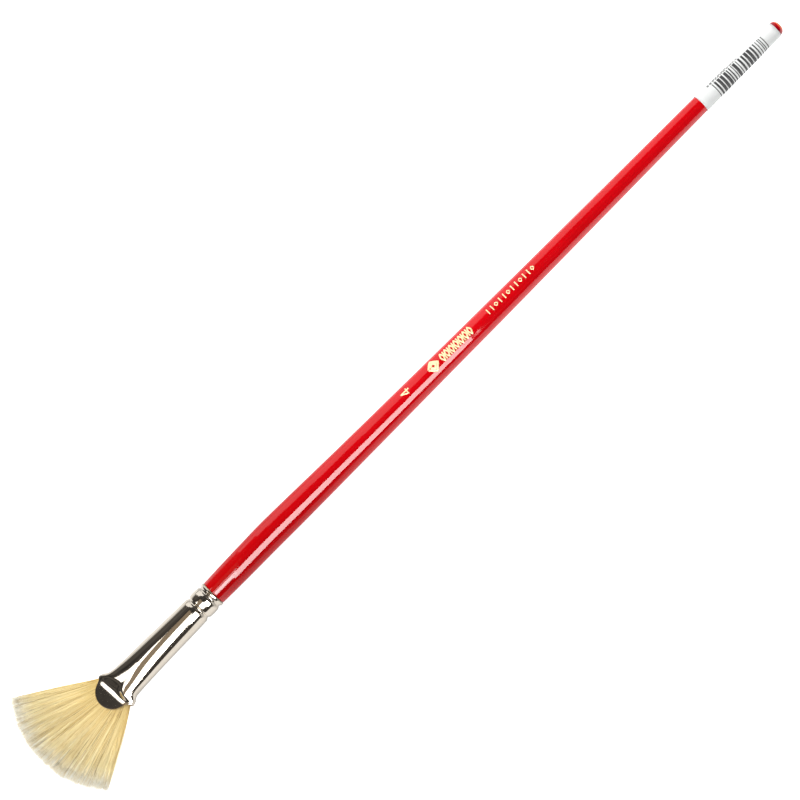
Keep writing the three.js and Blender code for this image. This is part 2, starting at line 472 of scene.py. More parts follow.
class Effects:
    """The node groups that several finishes share, each built once."""

    def __init__(self) -> None:
        """Builds every group."""
        self.streaks = self.lengthwise_streaks()
        self.mottle = self.soft_mottle()
        self.specks = self.fine_specks()

    @staticmethod
    def lengthwise_streaks() -> bpy.types.NodeTree:
        """Makes noise drawn out along X: grain, drawing marks and brushed lines.

        Returns:
            The group.
        """
        inputs = (("Across", 1000.0), ("Along", 40.0))
        group, sheet, given, result = shared_group("lengthwise_streaks", inputs)
        stretch = sheet.add("ShaderNodeCombineXYZ")
        sheet.feed(stretch.inputs["X"], given.outputs["Along"])
        sheet.feed(stretch.inputs["Y"], given.outputs["Across"])
        sheet.feed(stretch.inputs["Z"], given.outputs["Across"])
        drawn = sheet.scaled(given.outputs["Vector"], stretch.outputs[0])
        sheet.feed(result.inputs["Value"], sheet.noise(drawn, 1.0, 4.0, 0.6))
        return group

    @staticmethod
    def soft_mottle() -> bpy.types.NodeTree:
        """Makes slow, soft unevenness, as in a dipped coat or a plated sheet.

        Returns:
            The group.
        """
        group, sheet, given, result = shared_group("soft_mottle", (("Scale", 200.0), ("Strength", 1.0)))
        placed = sheet.scaled(given.outputs["Vector"], given.outputs["Scale"])
        slow = sheet.noise(placed, 1.0, 2.0, 0.45)
        centred = sheet.maths("SUBTRACT", slow, 0.5)
        sheet.feed(result.inputs["Value"], sheet.maths("MULTIPLY", centred, given.outputs["Strength"]))
        return group

    @staticmethod
    def fine_specks() -> bpy.types.NodeTree:
        """Makes scattered tiny marks: dust, pinholes and handling nicks.

        Returns:
            The group.
        """
        group, sheet, given, result = shared_group("fine_specks", (("Scale", 900.0), ("Size", 0.12)))
        placed = sheet.scaled(given.outputs["Vector"], given.outputs["Scale"])
        cells = sheet.add("ShaderNodeTexVoronoi", feature="F1")
        sheet.feed(cells.inputs["Vector"], placed)
        cells.inputs["Scale"].default_value = 1.0
        near = sheet.maths("SUBTRACT", given.outputs["Size"], cells.outputs["Distance"])
        sheet.feed(result.inputs["Value"], sheet.between(near, 0.0, 0.05, 0.0, 1.0))
        return group


@dataclass(frozen=True)
class Finish:
    """One material: its name and the node groups it may use."""

    effects: Effects
    name: str = "finish"

    def material(self) -> bpy.types.Material:
        """Builds the material with a Principled shader and lets the finish paint it.

        Returns:
            The material.
        """
        made = bpy.data.materials.new(self.name)
        made.use_nodes = True
        made.node_tree.nodes.clear()
        sheet = NodeSheet(made.node_tree)
        shader = sheet.add("ShaderNodeBsdfPrincipled")
        output = sheet.add("ShaderNodeOutputMaterial")
        sheet.feed(output.inputs["Surface"], shader.outputs["BSDF"])
        place = sheet.add("ShaderNodeTexCoord").outputs["Object"]
        self.paint(sheet, shader, place)
        return made

    def paint(self, sheet: NodeSheet, shader: bpy.types.Node, place: bpy.types.NodeSocket) -> None:
        """Sets the shader's sockets; each finish has its own."""
        raise NotImplementedError

    def effect(
        self, sheet: NodeSheet, group: bpy.types.NodeTree, place: object, **values: float
    ) -> bpy.types.NodeSocket:
        """Places a shared group.

        Args:
            sheet: the material's nodes.
            group: the shared group.
            place: the vector it reads.
            values: numbers for its named inputs.

        Returns:
            The group's value.
        """
        node = sheet.add("ShaderNodeGroup", node_tree=group)
        sheet.feed(node.inputs["Vector"], place)
        for key, number in values.items():
            node.inputs[key].default_value = number
        return node.outputs["Value"]


@dataclass(frozen=True)
class RedLacquer(Finish):
    """Dipped red lacquer over wood, glossy and slightly uneven.

    Stations are metres along the brush, as the material reads them.
    """

    name: str = "red_lacquer"
    deep: tuple = (0.46, 0.0, 0.002)
    bright: tuple = (0.56, 0.0, 0.0035)
    # Painted shade: a darker red laid on towards the ferrule.
    painted_shade_red: tuple = (0.36, 0.0, 0.001)
    thin: tuple = (0.75, 0.17, 0.015)
    # Painted shadow: a dark red beside the label's tail edge.
    label_edge_shadow: tuple = (0.16, 0.0, 0.01)
    # Run and depth of the painted shade towards the ferrule.
    painted_shade_run: tuple = (0.0, 0.080)
    painted_shade_most: float = 0.85
    # Run, depth and stop of the painted shadow by the label's edge.
    label_edge_shadow_run: tuple = (-0.1592, -0.1585)
    label_edge_shadow_most: float = 0.75
    label_edge_shadow_stop: tuple = (-0.1582, -0.1580)
    thin_run: tuple = (-0.1600, -0.1590)

    def paint(self, sheet: NodeSheet, shader: bpy.types.Node, place: bpy.types.NodeSocket) -> None:
        """Sets a deep red with dip ripples, dust nibs and fine rubbing, darkened towards the ferrule by
        painted shade and by a painted shadow beside the label's tail edge.

        Args:
            sheet: the material's nodes.
            shader: its Principled shader.
            place: the piece's Object coordinates.
        """
        slow = self.effect(sheet, self.effects.mottle, place, Scale=90.0, Strength=1.0)
        grain = self.effect(sheet, self.effects.streaks, place, Across=700.0, Along=18.0)
        tone = sheet.maths("ADD", slow, sheet.between(grain, 0.3, 0.7, 0.3, 0.7))
        split = sheet.add("ShaderNodeSeparateXYZ")
        sheet.feed(split.inputs[0], place)
        station = split.outputs["X"]
        # Painted shade: the red darkens from the middle of the handle to the ferrule.
        painted_shade_share = sheet.between(station, *self.painted_shade_run, 0.0, self.painted_shade_most)
        coat = sheet.mixed(painted_shade_share, sheet.mixed(tone, self.deep, self.bright), self.painted_shade_red)
        # Painted shadow: a dark red crescent on the tail dome just past the label's edge.
        label_edge_shadowed = sheet.between(station, *self.label_edge_shadow_run, 0.0, self.label_edge_shadow_most)
        label_edge_shadowed = sheet.maths("MULTIPLY", label_edge_shadowed, sheet.between(station, *self.label_edge_shadow_stop, 1.0, 0.0))
        coat = sheet.mixed(label_edge_shadowed, coat, self.label_edge_shadow)
        tip = sheet.between(station, *self.thin_run, 1.0, 0.0)
        sheet.feed(shader.inputs["Base Color"], sheet.mixed(tip, coat, self.thin))
        nibs = self.effect(sheet, self.effects.specks, place, Scale=260.0, Size=0.07)
        rubbed = sheet.between(grain, 0.35, 0.75, 0.02, 0.05)
        rough = sheet.maths("ADD", rubbed, sheet.maths("MULTIPLY", nibs, 0.12))
        sheet.feed(shader.inputs["Roughness"], rough)
        ripple = self.effect(sheet, self.effects.mottle, place, Scale=170.0, Strength=1.0)
        height = sheet.maths("ADD", ripple, sheet.maths("MULTIPLY", nibs, 0.15))
        sheet.feed(shader.inputs["Normal"], sheet.bump(height, 1.0, 0.00002))
        shader.inputs["IOR"].default_value = 1.5


@dataclass(frozen=True)
class BareWood(Finish):
    """The unpainted tenon of the handle."""

    name: str = "bare_wood"
    grain_stops: tuple = ((0.3, (0.52, 0.34, 0.18)), (0.7, (0.74, 0.56, 0.35)))

    def paint(self, sheet: NodeSheet, shader: bpy.types.Node, place: bpy.types.NodeSocket) -> None:
        """Sets a pale wood with lengthwise grain.

        Args:
            sheet: the material's nodes.
            shader: its Principled shader.
            place: the piece's Object coordinates.
        """
        grain = self.effect(sheet, self.effects.streaks, place, Across=2200.0, Along=60.0)
        sheet.feed(shader.inputs["Base Color"], sheet.ramp(grain, self.grain_stops))
        sheet.feed(shader.inputs["Roughness"], sheet.between(grain, 0.3, 0.7, 0.7, 0.5))
        sheet.feed(shader.inputs["Normal"], sheet.bump(grain, 0.5, 0.00005))


@dataclass(frozen=True)
class NickelPlate(Finish):
    """Bright nickel over drawn brass, with faint drawing lines and handling nicks."""

    name: str = "nickel_plate"
    plate: tuple = (0.68, 0.625, 0.545)
    dull: tuple = (0.60, 0.53, 0.43)

    def paint(self, sheet: NodeSheet, shader: bpy.types.Node, place: bpy.types.NodeSocket) -> None:
        """Sets a warm metal whose gloss varies along drawing lines.

        Args:
            sheet: the material's nodes.
            shader: its Principled shader.
            place: the piece's Object coordinates.
        """
        lines = self.effect(sheet, self.effects.streaks, place, Across=2600.0, Along=50.0)
        cloud = self.effect(sheet, self.effects.mottle, place, Scale=350.0, Strength=1.0)
        tone = sheet.maths("ADD", sheet.between(lines, 0.35, 0.7, 0.1, 0.55), cloud)
        sheet.feed(shader.inputs["Base Color"], sheet.mixed(tone, self.plate, self.dull))
        shader.inputs["Metallic"].default_value = 1.0
        nicks = self.effect(sheet, self.effects.specks, place, Scale=420.0, Size=0.06)
        gloss = sheet.between(lines, 0.35, 0.7, 0.035, 0.10)
        rough = sheet.maths("ADD", gloss, sheet.maths("MULTIPLY", nicks, 0.25))
        sheet.feed(shader.inputs["Roughness"], rough)
        height = sheet.maths("ADD", cloud, sheet.maths("MULTIPLY", lines, 0.12))
        height = sheet.maths("SUBTRACT", height, sheet.maths("MULTIPLY", nicks, 0.5))
        sheet.feed(shader.inputs["Normal"], sheet.bump(height, 1.0, 0.00001))


@dataclass(frozen=True)
class HogBristle(Finish):
    """Bleached hog bristle: gold at the root, cream along, paler at the split tips."""

    name: str = "hog_bristle"
    length_stops: tuple = (
        (0.0, (0.56, 0.41, 0.145)),
        (0.24, (0.68, 0.54, 0.235)),
        (0.43, (0.77, 0.64, 0.32)),
        (0.64, (0.81, 0.70, 0.385)),
        (0.82, (0.87, 0.78, 0.465)),
        (0.92, (0.91, 0.86, 0.645)),
        (1.0, (0.94, 0.93, 0.85)),
    )
    tint_stops: tuple = (
        (0.0, (0.40, 0.33, 0.22)),
        (0.12, (0.72, 0.58, 0.36)),
        (0.5, (0.93, 0.87, 0.74)),
        (1.0, (1.0, 1.0, 1.0)),
    )

    def paint(self, sheet: NodeSheet, shader: bpy.types.Node, place: bpy.types.NodeSocket) -> None:
        """Sets the colour from each hair's own shade and the way along it.

        Args:
            sheet: the material's nodes.
            shader: its Principled shader.
            place: the piece's Object coordinates.
        """
        along = sheet.add("ShaderNodeAttribute", attribute_name="along").outputs["Fac"]
        shade = sheet.add("ShaderNodeAttribute", attribute_name="shade").outputs["Fac"]
        length_colour = sheet.ramp(along, self.length_stops)
        hair_tint = sheet.ramp(shade, self.tint_stops)
        colour = sheet.mixed(1.0, length_colour, hair_tint, "MULTIPLY")
        sheet.feed(shader.inputs["Base Color"], colour)
        scale = self.effect(sheet, self.effects.streaks, place, Across=9000.0, Along=900.0)
        sheet.feed(shader.inputs["Roughness"], sheet.between(scale, 0.3, 0.7, 0.38, 0.55))
        shader.inputs["Specular IOR Level"].default_value = 0.35


@dataclass(frozen=True)
class LabelPaper(Finish):
    """White coated label paper."""

    name: str = "label_paper"
    shaded: tuple = (0.61, 0.625, 0.62)
    clean: tuple = (0.70, 0.71, 0.705)

    def paint(self, sheet: NodeSheet, shader: bpy.types.Node, place: bpy.types.NodeSocket) -> None:
        """Sets a cool white with faint fibres.

        Args:
            sheet: the material's nodes.
            shader: its Principled shader.
            place: the piece's Object coordinates.
        """
        fibre = self.effect(sheet, self.effects.mottle, place, Scale=2600.0, Strength=1.0)
        slow = self.effect(sheet, self.effects.mottle, place, Scale=220.0, Strength=1.0)
        tone = sheet.maths("ADD", sheet.maths("MULTIPLY", fibre, 0.7), sheet.maths("ADD", slow, 0.5))
        sheet.feed(shader.inputs["Base Color"], sheet.mixed(tone, self.shaded, self.clean))
        sheet.feed(shader.inputs["Roughness"], sheet.between(fibre, -0.2, 0.2, 0.42, 0.58))
        sheet.feed(shader.inputs["Normal"], sheet.bump(fibre, 0.6, 0.00002))
        shader.inputs["Specular IOR Level"].default_value = 0.2


@dataclass(frozen=True)
class LabelInk(Finish):
    """Black thermal print on the label."""

    name: str = "label_ink"
    solid: tuple = (0.012, 0.012, 0.014)
    broken: tuple = (0.07, 0.07, 0.072)

    def paint(self, sheet: NodeSheet, shader: bpy.types.Node, place: bpy.types.NodeSocket) -> None:
        """Sets a slightly broken black.

        Args:
            sheet: the material's nodes.
            shader: its Principled shader.
            place: the piece's Object coordinates.
        """
        worn = self.effect(sheet, self.effects.mottle, place, Scale=3000.0, Strength=1.0)
        tone = sheet.maths("ADD", worn, 0.4)
        sheet.feed(shader.inputs["Base Color"], sheet.mixed(tone, self.solid, self.broken))
        sheet.feed(shader.inputs["Roughness"], sheet.between(worn, -0.2, 0.2, 0.4, 0.6))


@dataclass(frozen=True)
class GoldFoil(Finish):
    """Hot-stamped gold foil."""

    name: str = "gold_foil"
    deep: tuple = (0.88, 0.68, 0.30)
    bright: tuple = (1.0, 0.90, 0.60)

    def paint(self, sheet: NodeSheet, shader: bpy.types.Node, place: bpy.types.NodeSocket) -> None:
        """Sets a pale gold with a crinkled gloss.

        Args:
            sheet: the material's nodes.
            shader: its Principled shader.
            place: the piece's Object coordinates.
        """
        crinkle = self.effect(sheet, self.effects.mottle, place, Scale=2200.0, Strength=1.0)
        tone = sheet.maths("ADD", crinkle, 0.5)
        sheet.feed(shader.inputs["Base Color"], sheet.mixed(tone, self.deep, self.bright))
        shader.inputs["Metallic"].default_value = 0.4
        sheet.feed(shader.inputs["Roughness"], sheet.between(crinkle, -0.2, 0.2, 0.30, 0.50))
        sheet.feed(shader.inputs["Normal"], sheet.bump(crinkle, 0.8, 0.00002))


@dataclass(frozen=True)
class SetEpoxy(Finish):
    """Hardened amber glue in the ferrule."""

    name: str = "set_epoxy"
    amber: tuple = (0.45, 0.24, 0.06)
    bubble: tuple = (0.70, 0.50, 0.22)

    def paint(self, sheet: NodeSheet, shader: bpy.types.Node, place: bpy.types.NodeSocket) -> None:
        """Sets an amber with small bubbles.

        Args:
            sheet: the material's nodes.
            shader: its Principled shader.
            place: the piece's Object coordinates.
        """
        bubbles = self.effect(sheet, self.effects.specks, place, Scale=1200.0, Size=0.2)
        sheet.feed(shader.inputs["Base Color"], sheet.mixed(bubbles, self.amber, self.bubble))
        sheet.feed(shader.inputs["Roughness"], sheet.between(bubbles, 0.0, 1.0, 0.15, 0.4))


@dataclass(frozen=True)
class CottonThread(Finish):
    """The thread bound round the bristle roots."""

    name: str = "cotton_thread"
    twist_stops: tuple = ((0.3, (0.55, 0.50, 0.40)), (0.7, (0.82, 0.78, 0.68)))

    def paint(self, sheet: NodeSheet, shader: bpy.types.Node, place: bpy.types.NodeSocket) -> None:
        """Sets an off-white with a fine twist.

        Args:
            sheet: the material's nodes.
            shader: its Principled shader.
            place: the piece's Object coordinates.
        """
        twist = self.effect(sheet, self.effects.streaks, place, Across=5000.0, Along=9000.0)
        sheet.feed(shader.inputs["Base Color"], sheet.ramp(twist, self.twist_stops))
        shader.inputs["Roughness"].default_value = 0.85
        sheet.feed(shader.inputs["Normal"], sheet.bump(twist, 0.7, 0.00006))


@dataclass(frozen=True)
class PaleFloor(Finish):
    """The studio's white sweep, lit a little from within.

    Runs are metres along the brush, as the material reads them.
    """

    name: str = "pale_floor"
    dim: tuple = (0.34, 0.34, 0.34)
    pale: tuple = (0.36, 0.36, 0.36)
    # Painted shade colour that the gloss sees beside the brush; the runs below place it and the painted glow.
    unlit: tuple = (0.02, 0.02, 0.02)
    lit_to: float = 0.04
    lit_fade: float = 0.01
    unlit_near: float = 0.45
    belly_rise: tuple = (-0.02, 0.05)
    belly_fall: tuple = (0.082, 0.09)
    contact_shade_reach: tuple = (0.004, 0.0075)
    contact_shade_most: float = 0.35
    tail_run: tuple = (-0.07, 0.03)
    glow: float = 0.66
    tail_glow: float = 0.25
    tail_flare: float = 0.4
    camera_glow: float = 0.32
    label_run: tuple = (-0.125, -0.100)
    label_least: float = 0.4

    def paint(self, sheet: NodeSheet, shader: bpy.types.Node, place: bpy.types.NodeSocket) -> None:
        """Sets a glowing matt white with painted light and shade: in the gloss it shows a painted dark patch
        beside the brush and a painted contact shade close to it, its glow rises towards the tail, its glow
        for diffuse bounce is weaker under the label, and the camera sees it brighter so that shadows wash
        out.

        Args:
            sheet: the material's nodes.
            shader: its Principled shader.
            place: the piece's Object coordinates.
        """
        slow = self.effect(sheet, self.effects.mottle, place, Scale=3.0, Strength=0.4)
        sweep = sheet.mixed(sheet.maths("ADD", slow, 0.5), self.dim, self.pale)
        split = sheet.add("ShaderNodeSeparateXYZ")
        sheet.feed(split.inputs[0], place)
        along = split.outputs["X"]
        lit_end = self.lit_to + self.lit_fade
        # Painted shade in the gloss: near-black beside the belly of the brush, partly dark close to it.
        beyond = sheet.between(split.outputs["Y"], self.lit_to, lit_end, self.unlit_near, 1.0)
        rise = sheet.between(along, *self.belly_rise, 0.0, 1.0)
        fall = sheet.between(along, *self.belly_fall, 1.0, 0.0)
        belly = sheet.maths("MULTIPLY", rise, fall)
        path = sheet.add("ShaderNodeLightPath")
        # Painted contact shade, seen in the gloss within a few millimetres of the brush.
        contact_shade = sheet.between(path.outputs["Ray Length"], *self.contact_shade_reach, self.contact_shade_most, 0.0)
        unlit = sheet.maths("MAXIMUM", sheet.maths("MULTIPLY", beyond, belly), contact_shade)
        mirrored = path.outputs["Is Glossy Ray"]
        shade = sheet.maths("MULTIPLY", unlit, mirrored)
        sheet.feed(shader.inputs["Base Color"], sheet.mixed(shade, sweep, self.unlit))
        shader.inputs["Roughness"].default_value = 0.9
        shader.inputs["Specular IOR Level"].default_value = 0.1
        sheet.feed(shader.inputs["Emission Color"], sheet.mixed(shade, (1, 1, 1), (0, 0, 0)))
        # Painted light: more glow towards the tail, more again in the gloss, less bounce glow under the
        # label, and a camera-only glow that washes out shadows.
        tail = sheet.between(along, *self.tail_run, 1.0, 0.0)
        bounce = sheet.maths("ADD", sheet.maths("MULTIPLY", tail, self.tail_glow), self.glow)
        flare = sheet.maths("MULTIPLY", sheet.maths("MULTIPLY", tail, mirrored), self.tail_flare)
        washed = sheet.maths("MULTIPLY", path.outputs["Is Camera Ray"], self.camera_glow)
        under = sheet.between(along, *self.label_run, self.label_least, 1.0)
        bounce = sheet.maths("ADD", bounce, sheet.maths("MULTIPLY", path.outputs["Is Diffuse Ray"], under))
        glow = sheet.maths("ADD", sheet.maths("ADD", bounce, flare), washed)
        sheet.feed(shader.inputs["Emission Strength"], glow)


def dress(piece: bpy.types.Object, material: bpy.types.Material) -> None:
    """Gives a piece one material.

    Args:
        piece: the piece to dress.
        material: its material.
    """
    piece.data.materials.clear()
    piece.data.materials.append(material)


# ---------------------------------------------------------------- handle


@dataclass
class Handle:
    """The long red handle and the bare tenon that the ferrule grips."""

    effects: Effects
    tail_x: float = -160.2
    shoulder_x: float = 87.2
    shoulder_fade: float = 0.25
    shoulder_roll: tuple = ((0.08, 0.03), (0.0, 0.12))
    dome_steps: int = 14
    dome_power: float = 0.8
    steps: int = 96
    samples: int = 150
    tenon_x: float = 107.0
    tenon_gap: float = 0.02
    tenon_steps: int = 48
    body: tuple = (
        (-158.2, 2.55), (-142, 2.80), (-122, 2.97), (-105, 3.11), (-85, 3.25), (-65, 3.42), (-46, 3.565),
        (-30, 3.70), (-14, 3.815), (2, 3.975), (18, 4.13), (31, 4.28), (45, 4.47), (54, 4.585),
        (62, 4.625), (70, 4.555), (79, 4.43), (87.2, 4.24),
    )
    tenon: tuple = (
        (87.3, 3.88), (87.9, 3.8), (88.9, 3.44), (89.9, 3.9), (92.7, 3.9), (93.8, 3.42), (95.6, 4.0),
        (105.6, 3.86), (107, 3.35),
    )

    def radius(self, x: np.ndarray) -> np.ndarray:
        """Radius of the lacquered body at a station, in millimetres."""
        return monotone_curve(self.body, np.asarray(x, float))

    def build(self) -> list:
        """Builds and dresses the lacquered body and the tenon.

        Returns:
            The two pieces.
        """
        start = self.body[0][0]
        dome = start - self.tail_x
        tail_radius = self.radius(np.array([start]))[0]
        profile = []
        for turn in np.linspace(0, math.pi / 2, self.dome_steps):
            station = self.tail_x + dome * (1 - math.cos(turn))
            profile.append((station, tail_radius * math.sin(turn) ** self.dome_power))
        along = np.linspace(start, self.shoulder_x - self.shoulder_fade, self.samples)[1:]
        profile += list(zip(along, self.radius(along)))
        end_radius = profile[-1][1]
        profile += [(self.shoulder_x - back, end_radius - drop) for back, drop in self.shoulder_roll]
        profile.append((self.shoulder_x, 0.0))
        body = turned_piece("handle_lacquered", profile, self.steps)
        bend(body)
        dress(body, RedLacquer(self.effects).material())
        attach(body, Body.BRUSH.value)
        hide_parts("handle")
        peg = [(self.shoulder_x + self.tenon_gap, 0.0), *self.tenon, (self.tenon_x, 0.0)]
        tenon = turned_piece("handle_tenon", peg, self.tenon_steps)
        bend(tenon)
        dress(tenon, BareWood(self.effects).material())
        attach(tenon, Body.BRUSH.value)
        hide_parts("handle")
        return [body, tenon]


# ---------------------------------------------------------------- ferrule


# Station and radius over the lip and the two crimped grooves next to the handle.
COLLAR = (
    (87.35, 4.40), (87.7, 4.47), (88.2, 4.44), (88.55, 4.16), (88.87, 4.02), (89.2, 4.16), (89.55, 4.44),
    (90.2, 4.56), (91.2, 4.60), (92.4, 4.56), (93.1, 4.47), (93.45, 4.16), (93.75, 4.02), (94.05, 4.16),
    (94.45, 4.46), (95.1, 4.57), (95.8, 4.60),
)


@dataclass
class Ferrule:
    """The drawn metal tube: round at the handle, pressed to a flat mouth with two tongues."""

    effects: Effects
    columns: int = 72
    wall: float = 0.3
    lip_x: float = 87.35
    collar_end: float = 96.5
    collar_rings: int = 56
    barrel_run: tuple = (97.2, 124.0)
    barrel_rings: int = 24
    mouth_start: float = 124.6
    mouth_rings: int = 19
    crease_x: float = 130.3
    corner_power: int = 8
    fold_start: float = 120.0
    fold_full: float = 126.0
    outline_samples: int = 1441
    ear_setback: float = 1.1
    tongue_half: float = 5.75
    tongue_reach: float = 5.75
    ear_lip: float = 0.28
    tongue_level: float = 0.72
    level_slope: float = 3.6
    tongue_slope: float = 10.6
    tongue_rows: int = 9
    mouth_skew: tuple = ((87.0, 0.0), (118.0, 0.0), (128.5, 5.8), (140.0, 5.0), (162.0, 4.4))
    fold_delay: tuple = (
        (-8, 1.2), (-5.2, 1.0), (-3.4, 0.55), (-1.0, 0.15), (0.2, 0.0), (2.0, 1.3), (4.2, 2.7), (8, 3.0),
    )
    half_width: tuple = (
        *COLLAR, (98, 4.66), (104, 4.82), (110, 4.98), (115, 5.12), (121, 5.27), (124.2, 5.37),
        (126.2, 5.58), (127.5, 6.05), (128.9, 6.82), (130.3, 7.3),
    )
    half_height: tuple = (
        *COLLAR, (98, 4.61), (104, 4.50), (110, 4.32), (115, 4.08), (121, 3.64), (124.2, 3.27),
        (126.5, 3.03), (127.1, 2.84), (129.8, 1.60), (130.3, 1.53),
    )
    squareness: tuple = (
        (87.35, 2.0), (104, 2.0), (110, 2.05), (115, 2.12), (121, 2.4), (124.2, 3.0), (127.2, 3.9),
        (130.3, 6.0),
    )

    def stations(self) -> np.ndarray:
        """Places of the rings of the tube, closer where it bends.

        Returns:
            Stations along the axis in millimetres.
        """
        return np.concatenate(
            [
                np.linspace(self.lip_x, self.collar_end, self.collar_rings),
                np.linspace(*self.barrel_run, self.barrel_rings),
                np.linspace(self.mouth_start, self.crease_x, self.mouth_rings),
            ]
        )

    def ring(self, half_width: float, half_height: float, power: float) -> np.ndarray:
        """Points of a rounded oval, spaced evenly along its outline.

        Args:
            half_width: half the width along Y.
            half_height: half the height along Z.
            power: 2 for an ellipse, more for flatter faces.

        Returns:
            Rows of y and z, from +Y round by +Z.
        """
        turn = np.linspace(0, 2 * math.pi, self.outline_samples)
        c, s = np.cos(turn), np.sin(turn)
        y = half_width * np.sign(c) * np.abs(c) ** (2 / power)
        z = half_height * np.sign(s) * np.abs(s) ** (2 / power)
        length = np.concatenate([[0], np.cumsum(np.hypot(np.diff(y), np.diff(z)))])
        even = np.linspace(0, length[-1], self.columns + 1)[:-1]
        return np.stack([np.interp(even, length, y), np.interp(even, length, z)], 1)

    def skewed(self, points: np.ndarray) -> np.ndarray:
        """Pushes points near the mouth along X, as the uneven press and trim leave them.

        Args:
            points: points about the axis, in millimetres.

        Returns:
            The moved points.
        """
        moved = points.copy()
        x, y = points[..., 0], points[..., 1]
        moved[..., 0] -= y * np.tan(np.radians(monotone_curve(self.mouth_skew, x)))
        moved[..., 1] += aside(x)
        return moved

    def tube_points(self) -> np.ndarray:
        """Points of the whole sheet, tongues included, ring by ring.

        Returns:
            Points, ring after ring from the handle to the ends of the tongues.
        """
        x = self.stations()
        widths = monotone_curve(self.half_width, x)
        heights = monotone_curve(self.half_height, x)
        powers = monotone_curve(self.squareness, x)
        rings = []
        for i, station in enumerate(x):
            section = self.ring(widths[i], heights[i], powers[i])
            inner = 1 - np.minimum(np.abs(section[:, 0] / widths[i]), 1.0) ** self.corner_power
            late = monotone_curve(self.fold_delay, section[:, 0]) * inner
            here = np.array([station])
            left = (self.crease_x - station) / (self.crease_x - self.fold_full)
            share = min(smooth_ramp(here, self.fold_start, self.fold_full)[0], max(0.0, left))
            pressed = smooth_ramp(here, self.fold_full, self.crease_x)[0]
            back = pressed * (1 - inner) * self.ear_setback
            rings.append(np.column_stack([station + late * share - back, section]))
        crease = rings[-1]
        y, z = crease[:, 1], crease[:, 2]
        reach = self.tongue_reach * np.sqrt(np.maximum(1 - (y / self.tongue_half) ** 2, 0.0))
        reach = np.maximum(reach, self.ear_lip)
        height = heights[-1]
        for row in range(1, self.tongue_rows + 1):
            out = reach * row / self.tongue_rows
            level = np.minimum(out, self.tongue_level) * math.tan(math.radians(self.level_slope))
            fall = np.maximum(out - self.tongue_level, 0) * math.tan(math.radians(self.tongue_slope))
            rings.append(np.column_stack([crease[:, 0] + out, y, z * (1 - (level + fall) / height)]))
        return self.skewed(np.concatenate(rings))

    def build(self) -> list:
        """Builds and dresses the ferrule.

        Returns:
            The piece.
        """
        points = self.tube_points()
        rows = len(points) // self.columns
        faces = grid_faces(rows, self.columns, True)
        piece = mesh_piece("ferrule_tube", points, faces)
        thicken(piece, self.wall, -1.0)
        soften(piece, 1)
        dress(piece, NickelPlate(self.effects).material())
        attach(piece, Body.BRUSH.value)
        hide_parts("ferrule")
        return [piece]


# ---------------------------------------------------------------- bristles


@dataclass(frozen=True)
class Scatter:
    """How much one hair differs from the next: millimetres, degrees or shares."""

    clump_step: float = 0.7
    pull: float = 0.55
    pull_spread: float = 0.25
    pull_most: float = 0.95
    turn: float = 0.6
    strays: float = 0.02
    stray_turn: float = 3.0
    shortness: float = 0.018
    overlong: float = 0.004
    broken: float = 0.14
    broken_short: float = 0.18
    tip_rise: float = 0.08
    bow: float = 0.22
    bow_rise: float = 0.10
    tone: float = 0.58
    tone_spread: float = 0.23
    tone_least: float = 0.04
    dark_hairs: float = 0.03
    dark_tone: float = 0.10
    clump_tone: float = 0.12
    clump_length: float = 0.008


